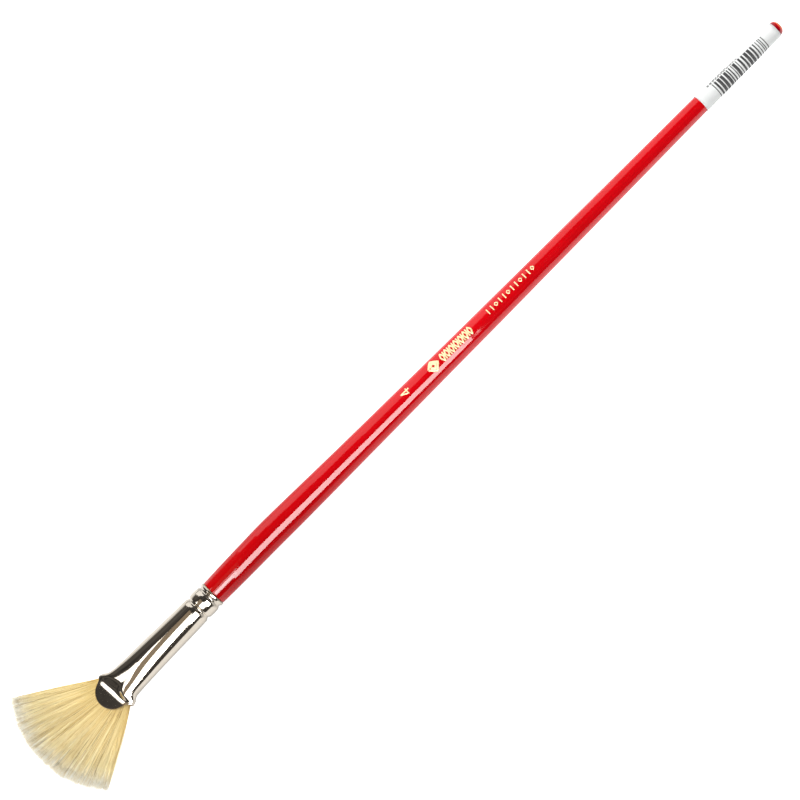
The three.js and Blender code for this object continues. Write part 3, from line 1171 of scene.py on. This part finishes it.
@dataclass
class Bristles:
    """The fan of hog bristles, as four layers of separate hairs over a packed core."""

    effects: Effects
    hairs_per_layer: int = 1312
    layers: tuple = ("bristles_bottom", "bristles_lower", "bristles_upper", "bristles_top")
    seed: int = 1851
    ray_x: float = 118.4
    arc_radius: float = 37.3
    tip_x: float = 160.2
    half_angle: float = 32.1
    lean: float = 1.5
    trim_middle: float = 0.55
    trim_corner: float = 1.0
    edge_power: int = 8
    root: tuple = (123.5, 4.5, 2.2)
    throat: tuple = (127.2, 4.9, 1.75)
    mouth: tuple = (129.7, 6.4, 1.0)
    ring_shares: tuple = (0.0, 0.11, 0.22, 0.35, 0.50, 0.66, 0.81, 0.93, 1.0)
    pinch: float = 0.24
    pinch_end: float = 0.20
    spread_end: float = 0.9
    tip_thickness: float = 1.15
    tip_thinning: float = 0.55
    tip_thinning_power: float = 2.5
    ridge: float = 0.09
    ridge_most: float = 1.5
    mouth_thinning: float = 0.9
    mouth_thinning_power: float = 3.2
    lean_x: float = 129.6
    lean_run: tuple = (126.0, 150.0)
    root_radius: float = 0.085
    tip_radius: float = 0.035
    flags: int = 2
    flag_radii: tuple = (0.03, 0.026, 0.012)
    flag_ways: tuple = (0.95, 1.0, 1.0)
    flag_fork: float = 0.5
    flag_middle: float = 0.2
    flag_drift: float = 0.09
    flag_length: tuple = (0.6, 1.9)
    flag_paler: float = 0.15
    flag_past_tip: float = 0.9
    scatter: Scatter = Scatter()
    core_columns: int = 48
    core_rows: int = 24
    core_shade: float = 0.3
    core_sections: tuple = (
        (113.9, 3.9, 3.2, 2.4), (118, 4.2, 2.9, 2.6), (123, 4.5, 2.45, 3.0), (126, 4.9, 2.0, 3.0),
        (128.2, 5.6, 1.25, 3.0), (129.8, 6.2, 0.85, 3.0), (131.5, 5.9, 0.6, 3.0), (133.0, 4.6, 0.35, 3.0),
    )
    clumps: int = 160
    bend_start: float = 136.6
    bend_end: float = 150.0

    def __post_init__(self) -> None:
        """Draws the tone and the length of each clump, which the layers share."""
        rng = np.random.default_rng(self.seed + 1)
        self.clump_tone = rng.normal(0, self.scatter.clump_tone, self.clumps + 1)
        self.clump_length = rng.normal(0, self.scatter.clump_length, self.clumps + 1)

    def reach(self, angle: np.ndarray) -> np.ndarray:
        """Distance from the ray origin to the tip arc along a ray, in millimetres.

        Args:
            angle: heading of the ray in radians.

        Returns:
            The distance for each ray.
        """
        centre = self.tip_x - self.arc_radius - self.ray_x
        arc = centre * np.cos(angle) + np.sqrt(self.arc_radius**2 - (centre * np.sin(angle)) ** 2)
        share = np.abs(angle) / math.radians(self.half_angle)
        return arc - self.trim_middle - (self.trim_corner - self.trim_middle) * share**5

    def paths(self, rng: np.random.Generator, low: float, high: float) -> tuple:
        """Lays out the centre line of each hair of one layer.

        Args:
            rng: the seeded random source.
            low: lowest share of the bundle's thickness in this layer.
            high: highest share.

        Returns:
            Points (hair, ring, xyz), the tone of each hair and the way along at each ring.
        """
        n = self.hairs_per_layer
        vary = self.scatter
        across = (np.arange(n) + rng.uniform(0, 1, n)) / n * 2 - 1
        rng.shuffle(across)
        layer = rng.uniform(low, high, n)
        index = np.round((across * 0.5 + 0.5) * self.clumps + rng.normal(0, vary.clump_step, n)).astype(int)
        index = np.clip(index, 0, self.clumps)
        clump = index / self.clumps * 2 - 1
        pull = np.clip(rng.normal(vary.pull, vary.pull_spread, n), 0, vary.pull_most)
        spread = across + (clump - across) * pull
        inner = 1 - np.abs(across) ** self.edge_power
        stray = rng.uniform(0, 1, n) < vary.strays
        wander = rng.normal(0, vary.turn, n) + np.where(stray, rng.normal(0, vary.stray_turn, n), 0)
        heading = spread * self.half_angle + wander * inner
        angle = np.radians(np.clip(heading, -self.half_angle, self.half_angle))
        short = np.abs(rng.normal(0, vary.shortness, n)) + self.clump_length[index] * inner
        broken = rng.uniform(0, 1, n) < vary.broken
        short += np.where(broken, rng.uniform(0, vary.broken_short, n), 0) * inner
        reach = self.reach(angle) * (1.0 - np.maximum(short, -vary.overlong))
        lens = 1 - self.tip_thinning * np.abs(across) ** self.tip_thinning_power
        off_clump = np.clip((across - clump) * self.clumps / 2, -self.ridge_most, self.ridge_most)
        height = layer * (self.tip_thickness * lens - self.ridge * off_clump**2)
        height = height + rng.normal(0, vary.tip_rise, n)
        tip = np.stack([self.ray_x + reach * np.cos(angle), reach * np.sin(angle), height], 1)
        bow = rng.normal(0, vary.bow, n)
        bow_rise = rng.normal(0, vary.bow_rise, n)
        points = self.centre_lines(across, layer, angle, tip, bow, bow_rise)
        tone = vary.tone + self.clump_tone[index] + rng.normal(0, vary.tone_spread, n)
        tone = np.clip(tone, vary.tone_least, 1)
        dark = rng.uniform(0, 1, n) < vary.dark_hairs
        tone = np.where(dark, rng.uniform(0, vary.dark_tone, n), tone)
        return points, tone, np.concatenate([[0.0, 0.0], self.ring_shares])

    def centre_lines(
        self,
        across: np.ndarray,
        layer: np.ndarray,
        angle: np.ndarray,
        tip: np.ndarray,
        bow: np.ndarray,
        bow_rise: np.ndarray,
    ) -> np.ndarray:
        """Runs each hair from its root in the glue, through the pressed mouth, to its tip.

        Args:
            across: place over the width of the bundle, from -1 to 1.
            layer: place through its thickness, from -1 to 1.
            angle: heading in the fan, in radians.
            tip: where the hair ends.
            bow: how far it bows sideways.
            bow_rise: how far it bows upwards.

        Returns:
            Points (hair, ring, xyz).
        """
        n = len(across)
        mouth_lens = (1 - np.abs(across) ** self.mouth_thinning_power * self.mouth_thinning) ** 0.5
        root, throat, mouth = (
            np.stack([np.full(n, x), across * half_width, layer * half_height * mouth_lens], 1)
            for x, half_width, half_height in (self.root, self.throat, self.mouth)
        )
        pinched = self.pinch * mouth_lens * layer
        side = np.stack([-np.sin(angle), np.cos(angle), np.zeros(n)], 1)
        rings = [root, throat]
        for share in self.ring_shares:
            point = mouth + (tip - mouth) * share
            here = np.array([share])
            swell = smooth_ramp(here, 0.0, self.pinch_end)[0]
            settle = smooth_ramp(here, self.pinch_end, self.spread_end)[0]
            point[:, 2] = mouth[:, 2] * (1 - swell) + pinched * swell
            point[:, 2] = point[:, 2] * (1 - settle) + tip[:, 2] * settle
            arch = math.sin(math.pi * share)
            point = point + side * (bow * arch)[:, None]
            point[:, 2] += bow_rise * arch * share
            rings.append(point)
        points = np.stack(rings, 1)
        lean = math.tan(math.radians(self.lean)) * smooth_ramp(points[:, :, 0], *self.lean_run)
        points[:, :, 1] -= (points[:, :, 0] - self.lean_x) * lean
        return Ferrule(self.effects).skewed(points)

    @staticmethod
    def tubes(points: np.ndarray, radii: np.ndarray, tone: np.ndarray, along: np.ndarray) -> tuple:
        """Wraps thin four-sided tubes round centre lines.

        Args:
            points: centre lines (hair, ring, xyz).
            radii: radius at each ring.
            tone: one shade for each hair.
            along: way along the hair at each ring.

        Returns:
            Vertices, quads, shade and along for each vertex.
        """
        n, rings, _ = points.shape
        tangent = np.gradient(points, axis=1)
        tangent /= np.linalg.norm(tangent, axis=2, keepdims=True)
        side = np.cross(tangent, np.array([0.0, 0.0, 1.0]))
        side /= np.linalg.norm(side, axis=2, keepdims=True)
        up = np.cross(side, tangent)
        corners = []
        for k in range(4):
            turn = math.pi / 4 + k * math.pi / 2
            corners.append(points + radii[None, :, None] * (math.cos(turn) * side + math.sin(turn) * up))
        grid = np.stack(corners, 2)
        base = (np.arange(n) * rings * 4)[:, None, None]
        ring = (np.arange(rings - 1) * 4)[None, :, None]
        k = np.arange(4)[None, None, :]
        nxt = (k + 1) % 4
        a, b = base + ring + k, base + ring + nxt
        quads = np.stack([a, a + 4, b + 4, b], -1).reshape(-1, 4)
        first = base[:, 0, 0][:, None] + np.array([0, 1, 2, 3])[None, :]
        last = base[:, 0, 0][:, None] + (rings - 1) * 4 + np.array([3, 2, 1, 0])[None, :]
        faces = np.concatenate([quads, first, last])
        tones = np.repeat(tone, rings * 4)
        ways = np.tile(np.repeat(along, 4), n)
        return grid.reshape(-1, 3), faces, tones, ways

    def layer_piece(self, name: str, rng: np.random.Generator, low: float, high: float) -> bpy.types.Object:
        """Builds one layer of hairs with their split tips.

        Args:
            name: the piece's name.
            rng: the seeded random source.
            low: lowest share of the bundle's thickness.
            high: highest share.

        Returns:
            The layer's mesh object.
        """
        points, tone, along = self.paths(rng, low, high)
        radii = self.root_radius + (self.tip_radius - self.root_radius) * np.clip(along, 0, 1) ** 2
        parts = [self.tubes(points, radii, tone, along)]
        tip = points[:, -1]
        onward = tip - points[:, -2]
        start = points[:, -2] + onward * self.flag_fork
        onward = onward / np.linalg.norm(onward, axis=1, keepdims=True)
        paler = np.clip(tone + self.flag_paler, 0, 1)
        for _ in range(self.flags):
            heading = onward + rng.normal(0, self.flag_drift, (len(tip), 3))
            heading /= np.linalg.norm(heading, axis=1, keepdims=True)
            length = rng.uniform(*self.flag_length, len(tip))[:, None]
            middle = tip + heading * length * self.flag_middle
            flag = np.stack([start, middle, tip + heading * length], 1)
            flag[:, :, 0] = np.minimum(flag[:, :, 0], self.tip_x + self.flag_past_tip)
            parts.append(self.tubes(flag, np.array(self.flag_radii), paler, np.array(self.flag_ways)))
        piece = mesh_piece(name, *joined([part[:2] for part in parts]))
        mark_points(piece, "shade", np.concatenate([part[2] for part in parts]))
        mark_points(piece, "along", np.concatenate([part[3] for part in parts]))
        return piece

    def core(self) -> bpy.types.Object:
        """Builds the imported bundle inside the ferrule, up to just under the tongues.

        Returns:
            The core, with its shade and way along for the bristle finish.
        """
        columns = self.core_columns
        x = np.linspace(self.core_sections[0][0], self.core_sections[-1][0], self.core_rows)
        sizes = [monotone_curve(tuple((s[0], s[k]) for s in self.core_sections), x) for k in (1, 2, 3)]
        shape = Ferrule(self.effects, columns=columns)
        rings = []
        for station, half_width, half_height, power in zip(x, *sizes):
            section = shape.ring(half_width, half_height, power)
            rings.append(np.column_stack([np.full(columns, station), section]))
        ends = np.array([[x[0], 0, 0], [x[-1], 0, 0]])
        points = shape.skewed(np.concatenate([*rings, ends]))
        side = grid_faces(len(x), columns, True).tolist()
        hub = len(x) * columns
        last = hub - columns
        for k in range(columns):
            onward = (k + 1) % columns
            side.append([hub, onward, k])
            side.append([hub + 1, last + k, last + onward])
        piece = mesh_piece("bristle_core", points, side)
        mark_points(piece, "shade", np.full(len(points), self.core_shade))
        mark_points(piece, "along", np.zeros(len(points)))
        return piece

    def build(self) -> list:
        """Builds and dresses the core and the four layers.

        Returns:
            The pieces.
        """
        material = HogBristle(self.effects).material()
        rng = np.random.default_rng(self.seed)
        made = [self.core()]
        dress(made[0], material)
        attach(made[0], Body.BRUSH.value)
        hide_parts("bristle_heel")
        edges = np.linspace(-1, 1, len(self.layers) + 1)
        for i, name in enumerate(self.layers):
            piece = self.layer_piece(name, rng, edges[i], edges[i + 1])
            dress(piece, material)
            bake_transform(piece)
            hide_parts("bristle_heel", "bristle_fan")
            made.append(piece)
        return made


# ---------------------------------------------------------------- label and foil


@dataclass
class Wrap:
    """Turns flat drawing points into points on the handle."""

    handle: Handle

    def onto(self, flat: np.ndarray, lift: float) -> np.ndarray:
        """Bends flat points round the handle.

        Args:
            flat: rows of station along the axis and distance round from the top towards -Y.
            lift: height above the lacquer.

        Returns:
            Points about the axis.
        """
        radius = self.handle.radius(flat[:, 0])
        turn = flat[:, 1] / radius
        out = radius + lift
        return np.stack([flat[:, 0], aside(flat[:, 0]) - out * np.sin(turn), out * np.cos(turn)], 1)

    def stroke(self, line: list, width: float, lift: float, pace: float = 0.35) -> tuple:
        """Makes a flat ribbon along a line and bends it round the handle.

        Args:
            line: points of the line, as station and distance round.
            width: width of the ribbon.
            lift: height above the lacquer.
            pace: longest piece between cuts.

        Returns:
            Vertices and quads.
        """
        path = np.array(line, float)
        dense = [path[0]]
        for a, b in zip(path[:-1], path[1:]):
            cuts = max(1, math.ceil(np.linalg.norm(b - a) / pace))
            dense += [a + (b - a) * (k + 1) / cuts for k in range(cuts)]
        dense = np.array(dense)
        heading = np.gradient(dense, axis=0)
        heading /= np.linalg.norm(heading, axis=1, keepdims=True)
        normal = np.stack([-heading[:, 1], heading[:, 0]], 1)
        lanes = np.linspace(-0.5, 0.5, 3)
        flat = np.concatenate([dense + normal * width * lane for lane in lanes])
        return self.onto(flat, lift), grid_faces(len(lanes), len(dense), False)

    def printed(self, name: str, strokes: list, thickness: float) -> bpy.types.Object:
        """Joins strokes to one thin piece.

        Args:
            name: the piece's name.
            strokes: line, width and lift of each stroke.
            thickness: how thick the print is.

        Returns:
            The piece, with a live Solidify.
        """
        parts = []
        for line, width, lift in strokes:
            points, quads = self.stroke(line, width, lift)
            outward = points[quads[0]]
            facing = np.cross(outward[1] - outward[0], outward[2] - outward[0])
            middle = outward.mean(0)
            if facing[1] * middle[1] + facing[2] * middle[2] < 0:
                quads = quads[:, ::-1]
            parts.append((points, quads))
        piece = mesh_piece(name, *joined(parts))
        thicken(piece, thickness, 1.0)
        return piece


@dataclass
class FoilMarks:
    """Gold foil on the handle: a size numeral, a plain ornament and a row of beads."""

    effects: Effects
    wrap: Wrap
    lift: float = 0.012
    thickness: float = 0.01

    @staticmethod
    def lozenge(x: float, half_length: float, half_width: float) -> list:
        """Gives the closed outline of a lozenge about a station."""
        front, back = (x + half_length, 0), (x - half_length, 0)
        return [front, (x, half_width), back, (x, -half_width), front]

    def numeral(self) -> list:
        """Strokes of the numeral 4, its top towards the bristles.

        Returns:
            Line, width and lift of each stroke.
        """
        foot_x, middle = 0.4, 0.35
        tall, wide = 3.4, 2.2
        stem, toe, bar = 1.45, 0.12, 1.0
        line_width, overlap = 0.42, 0.004
        glyph = (
            ((stem, 0.0), (stem, tall)),
            ((stem, tall), (toe, bar)),
            ((0.0, bar), (wide, bar)),
        )
        strokes = []
        for k, line in enumerate(glyph):
            placed = [(foot_x + gy, middle + gx - wide / 2) for gx, gy in line]
            strokes.append((placed, line_width, self.lift + overlap * k))
        return strokes

    def ornament(self) -> list:
        """Strokes of a medallion followed by a chain of lozenges.

        Returns:
            Line, width and lift of each stroke.
        """
        centre, big, inner_share = -9.7, 2.0, 0.52
        strokes = [(self.lozenge(centre, size, size), 0.72, self.lift) for size in (big, big * inner_share)]
        links, first, pitch = 7, -13.6, 1.96
        half_length, half_width = 0.62, 1.5
        for i in range(links):
            x = first - i * pitch
            strokes.append((self.lozenge(x, half_length, half_width), 0.52, self.lift))
            if i < links - 1:
                bar = x - pitch / 2
                strokes.append(([(bar, -half_width), (bar, half_width)], 0.46, self.lift))
        return strokes

    def beads(self) -> list:
        """Strokes of a row of short bars, with a small lozenge after every two.

        Returns:
            Line, width and lift of each stroke.
        """
        count, first, pitch = 12, -33.4, 1.74
        size, half_bar = 0.62, 1.0
        strokes = []
        for i in range(count):
            x = first - i * pitch
            if i % 3 == 2:
                strokes.append((self.lozenge(x, size, size), 0.34, self.lift))
            else:
                strokes.append(([(x, -half_bar), (x, half_bar)], 0.42, self.lift))
        return strokes

    def build(self) -> list:
        """Builds and dresses the three foil marks.

        Returns:
            The pieces.
        """
        foil = GoldFoil(self.effects).material()
        made = []
        marks = {"foil_numeral": self.numeral(), "foil_ornament": self.ornament(), "foil_beads": self.beads()}
        for name, strokes in marks.items():
            piece = self.wrap.printed(name, strokes, self.thickness)
            dress(piece, foil)
            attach(piece, Body.BRUSH.value)
            made.append(piece)
        return made


@dataclass
class TailLabel:
    """The paper sleeve round the tail, with plain bars and rows of tiny dashes."""

    effects: Effects
    wrap: Wrap
    start_x: float = -158.1
    end_x: float = -125.5
    seam_turn: float = 200.0
    overlap: float = 50.0
    paper: float = 0.10
    rows: int = 26
    columns: int = 90
    paper_lift: float = 0.03
    seam_lift: float = 0.13
    seam_run: tuple = (330.0, 372.0)
    print_radius: float = 2.68
    print_lift: float = 0.145
    print_thickness: float = 0.008
    bars_run: tuple = (-131.6, -153.0)
    bars_turns: tuple = (16.0, -112.0)
    bar_widths: tuple = (0.30, 0.45, 0.70, 1.0)
    bar_gaps: tuple = (0.30, 0.45, 0.60)
    dashes_start: float = -130.2
    dash_rows: tuple = ((26.0, -142.5), (35.0, -138.0))
    dash_width: float = 0.30
    dash_lengths: tuple = (0.35, 1.1)
    dash_gaps: tuple = (0.25, 0.5)
    seed: int = 77

    def sleeve(self) -> bpy.types.Object:
        """Builds the rolled paper with its overlapping seam underneath.

        Returns:
            The sheet of paper, still without thickness.
        """
        x = np.linspace(self.start_x, self.end_x, self.rows)
        turns = np.linspace(0, 360 + self.overlap, self.columns)
        lift = self.paper_lift + self.seam_lift * smooth_ramp(turns, *self.seam_run)
        turn = np.radians(self.seam_turn + turns)
        grid = np.zeros((self.rows, self.columns, 3))
        for i, station in enumerate(x):
            out = self.wrap.handle.radius(np.array([station]))[0] + lift
            across = aside(station) + out * np.sin(turn)
            grid[i] = np.stack([np.full(self.columns, station), across, out * np.cos(turn)], 1)
        faces = grid_faces(self.rows, self.columns, False)[:, ::-1]
        return mesh_piece("label_sleeve", grid.reshape(-1, 3), faces)

    def bars(self) -> list:
        """Strokes of plain bars of random widths and gaps across the label.

        Returns:
            Line, width and lift of each stroke.
        """
        rng = np.random.default_rng(self.seed)
        top, foot = (math.radians(turn) * self.print_radius for turn in self.bars_turns)
        strokes = []
        x, stop = self.bars_run
        while x > stop:
            width = float(rng.choice(self.bar_widths))
            gap = float(rng.choice(self.bar_gaps))
            strokes.append(([(x - width / 2, top), (x - width / 2, foot)], width, self.print_lift))
            x -= width + gap
        return strokes

    def dashes(self) -> list:
        """Strokes of two rows of tiny dashes that stand for small print.

        Returns:
            Line, width and lift of each stroke.
        """
        rng = np.random.default_rng(self.seed + 1)
        strokes = []
        for turn, stop in self.dash_rows:
            x = self.dashes_start
            height = math.radians(turn) * self.print_radius
            while x > stop:
                length = float(rng.uniform(*self.dash_lengths))
                strokes.append(([(x, height), (x - length, height)], self.dash_width, self.print_lift))
                x -= length + float(rng.uniform(*self.dash_gaps))
        return strokes

    def build(self) -> list:
        """Builds and dresses the sleeve and its print.

        Returns:
            The pieces.
        """
        sleeve = self.sleeve()
        thicken(sleeve, self.paper, 1.0)
        dress(sleeve, LabelPaper(self.effects).material())
        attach(sleeve, Body.BRUSH.value)
        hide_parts("label")
        ink = self.wrap.printed("label_print", self.bars() + self.dashes(), self.print_thickness)
        dress(ink, LabelInk(self.effects).material())
        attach(ink, Body.BRUSH.value)
        return [sleeve, ink]


# ---------------------------------------------------------------- inner parts


@dataclass
class InnerParts:
    """The CAD nodes that stay: the glue plug and the binding thread inside the ferrule."""

    effects: Effects

    def build(self) -> list:
        """Gives each kept CAD node its procedural material.

        Returns:
            The nodes.
        """
        kept = {"glue_plug": SetEpoxy(self.effects), "binding_thread": CottonThread(self.effects)}
        for node, finish in kept.items():
            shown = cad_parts[node]
            shown.data.materials.clear()
            shown.data.materials.append(finish.material())
        return [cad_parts[node] for node in kept]


# ---------------------------------------------------------------- studio


class LightUse(Enum):
    """What a panel is for: soft body light, or a shape mirrored in the gloss."""

    BODY = "body"
    GLOSS = "gloss"


@dataclass(frozen=True)
class Panel:
    """A flat light set at an angle round the brush axis.

    The angles are degrees from straight up towards +Y, and x is in millimetres.
    """

    name: str
    from_angle: float
    to_angle: float
    from_x: float
    to_x: float
    radiance: float
    tint: tuple = (1.0, 1.0, 1.0)
    distance: float = 700.0
    use: LightUse = LightUse.GLOSS
    outline: str = "RECTANGLE"

    def build(self) -> bpy.types.Object:
        """Makes the area light, hidden from the camera itself.

        Returns:
            The light.
        """
        middle = math.radians((self.from_angle + self.to_angle) / 2)
        half = math.radians((self.to_angle - self.from_angle) / 2)
        long = (self.to_x - self.from_x) * MM
        wide = 2 * self.distance * math.tan(half) * MM
        data = bpy.data.lights.new(self.name, "AREA")
        data.shape = self.outline
        data.size = long
        data.size_y = wide
        data.energy = self.radiance * math.pi * long * wide
        data.color = self.tint
        lamp = bpy.data.objects.new(self.name, data)
        out = Vector((0, math.sin(middle), math.cos(middle)))
        across = Vector((0, math.cos(middle), -math.sin(middle)))
        lamp.matrix_world = Matrix(
            (
                (1, across.x, out.x, (self.from_x + self.to_x) / 2 * MM),
                (0, across.y, out.y, out.y * self.distance * MM),
                (0, across.z, out.z, out.z * self.distance * MM + AXIS_Z),
                (0, 0, 0, 1),
            )
        )
        lamp.visible_camera = False
        lamp.visible_glossy = self.use is LightUse.GLOSS
        lamp.visible_diffuse = self.use is LightUse.BODY
        bpy.context.scene.collection.objects.link(lamp)
        return lamp


@dataclass
class Studio:
    """The floor, the lights, the surroundings and the camera."""

    effects: Effects
    camera_x: float = 20.0
    camera_distance: float = 840.0
    camera_roll: float = 22.0
    aim_x: float = 4.79
    aim_across: float = -1.141
    lens: float = 122.78
    frame_turn: float = 44.97
    floor_half: float = 4.0
    floor_lines: int = 9
    room_tint: tuple = (1.0, 0.94, 0.88, 1)
    room_noise: tuple = (2.6, 3.0, 0.55)
    room_dim: tuple = (0.38, 0.64, 0.035, 0.125)
    room_ends: tuple = (0.93, 0.97, 0.0, 0.75)
    seen_room: tuple = (0.93, 0.93, 0.93, 1)
    panels: tuple = (
        Panel("body_light", -62.0, 30.0, -560.0, 560.0, 3.1, use=LightUse.BODY),
        Panel("key_softbox", 13.0, 47.5, 138.0, 480.0, 4.0),
        Panel("key_core", 26.5, 66.0, -72.0, 138.0, 12.0, distance=690.0),
        Panel("key_shoulder", 26.5, 52.0, 138.0, 262.0, 12.0, distance=690.0),
        Panel("overhead_card", -18.0, 12.0, 138.0, 480.0, 0.28, (1.0, 0.77, 0.52)),
        Panel("side_strip", -26.5, -14.0, 300.0, 440.0, 2.4),
        Panel("side_strip_end", -23.5, -14.5, 222.0, 378.0, 2.4, outline="ELLIPSE"),
        Panel("low_card", -96.0, -77.0, 138.0, 480.0, 0.62),
        Panel("far_reflector_a", -85.0, -58.0, -700.0, 138.0, 1.2),
        Panel("far_reflector_b", -58.0, -42.0, -700.0, 118.0, 1.2),
        Panel("far_reflector_c", -42.0, -37.0, -700.0, 92.0, 1.2),
        Panel("far_reflector_d", -37.0, -33.0, -700.0, 68.0, 1.2),
        Panel("far_reflector_e", -33.0, -28.0, -700.0, 42.0, 1.2),
        Panel("far_reflector_f", -28.0, -22.0, -700.0, 8.0, 1.2),
    )

    def floor(self) -> bpy.types.Object:
        """Makes the wide pale floor just under the brush.

        Returns:
            The floor, which is stage only.
        """
        mesh = bpy.data.meshes.new("studio_floor")
        cuts = np.linspace(-self.floor_half, self.floor_half, self.floor_lines)
        grid = np.array([(x, y, 0.0) for x in cuts for y in cuts])
        mesh.from_pydata(grid, [], grid_faces(len(cuts), len(cuts), False)[:, ::-1])
        piece = bpy.data.objects.new("studio_floor", mesh)
        bpy.context.scene.collection.objects.link(piece)
        dress(piece, PaleFloor(self.effects).material())
        return piece

    def surroundings(self) -> None:
        """Makes a dim room for reflections, brighter at its two ends, that looks pale to the camera."""
        world = bpy.data.worlds.new("studio_world")
        world.use_nodes = True
        world.node_tree.nodes.clear()
        sheet = NodeSheet(world.node_tree)
        path = sheet.add("ShaderNodeLightPath")
        room = sheet.add("ShaderNodeBackground")
        room.inputs["Color"].default_value = self.room_tint
        way = sheet.add("ShaderNodeTexCoord").outputs["Generated"]
        dim = sheet.between(sheet.noise(way, *self.room_noise), *self.room_dim)
        heading = sheet.add("ShaderNodeSeparateXYZ")
        sheet.feed(heading.inputs[0], way)
        ends = sheet.between(sheet.maths("ABSOLUTE", heading.outputs["X"]), *self.room_ends)
        sheet.feed(room.inputs["Strength"], sheet.maths("ADD", dim, ends))
        seen = sheet.add("ShaderNodeBackground")
        seen.inputs["Color"].default_value = self.seen_room
        pick = sheet.add("ShaderNodeMixShader")
        sheet.feed(pick.inputs[0], path.outputs["Is Camera Ray"])
        sheet.feed(pick.inputs[1], room.outputs[0])
        sheet.feed(pick.inputs[2], seen.outputs[0])
        output = sheet.add("ShaderNodeOutputWorld")
        sheet.feed(output.inputs["Surface"], pick.outputs[0])
        bpy.context.scene.world = world

    def camera(self) -> bpy.types.Object:
        """Sets the camera above the brush, rolled so that the brush runs corner to corner.

        Returns:
            The camera.
        """
        roll = math.radians(self.camera_roll)
        turn = math.radians(self.frame_turn)
        reach = self.camera_distance * MM
        place = Vector((self.camera_x * MM, reach * math.sin(roll), AXIS_Z + reach * math.cos(roll)))
        tail_way = Vector((-1, 0, 0))

        def frame_of(target: Vector) -> tuple:
            """Works out how the camera stands to the brush.

            Args:
                target: the point in the middle of the frame.

            Returns:
                Looking direction, and the directions of -X and +Y as seen across the frame.
            """
            ahead = (target - place).normalized()
            first = (tail_way - ahead * tail_way.dot(ahead)).normalized()
            return ahead, first, ahead.cross(first)

        target = Vector((self.aim_x * MM, 0, AXIS_Z))
        across = frame_of(target)[2]
        ahead, first, second = frame_of(target + across * self.aim_across * MM)
        right = first * math.cos(turn) + second * math.sin(turn)
        up = first * math.sin(turn) - second * math.cos(turn)
        data = bpy.data.cameras.new("product_camera")
        data.lens = self.lens
        data.sensor_width = 36.0
        data.clip_start = 0.01
        data.clip_end = 20.0
        camera = bpy.data.objects.new("product_camera", data)
        camera.matrix_world = Matrix(
            (
                (right.x, up.x, -ahead.x, place.x),
                (right.y, up.y, -ahead.y, place.y),
                (right.z, up.z, -ahead.z, place.z),
                (0, 0, 0, 1),
            )
        )
        bpy.context.scene.collection.objects.link(camera)
        bpy.context.scene.camera = camera
        return camera

    def build(self) -> list:
        """Builds the whole studio.

        Returns:
            The floor, the lights and the camera.
        """
        self.surroundings()
        bpy.context.scene.view_settings.view_transform = "Standard"
        return [self.floor(), *[panel.build() for panel in self.panels], self.camera()]


def main() -> None:
    """Builds the brush and its studio, reporting each piece."""
    logging.basicConfig(level=logging.INFO, format="%(name)s: %(message)s")
    effects = Effects()
    handle = Handle(effects)
    wrap = Wrap(handle)
    makers = (
        Studio(effects),
        handle,
        Ferrule(effects),
        Bristles(effects),
        FoilMarks(effects, wrap),
        TailLabel(effects, wrap),
        InnerParts(effects),
    )
    for maker in makers:
        for piece in maker.build():
            count = len(piece.data.polygons) if piece.type == "MESH" else 0
            LOG.info("%s: %s, %d faces", type(maker).__name__, piece.name, count)


if __name__ == "__main__":
    main()
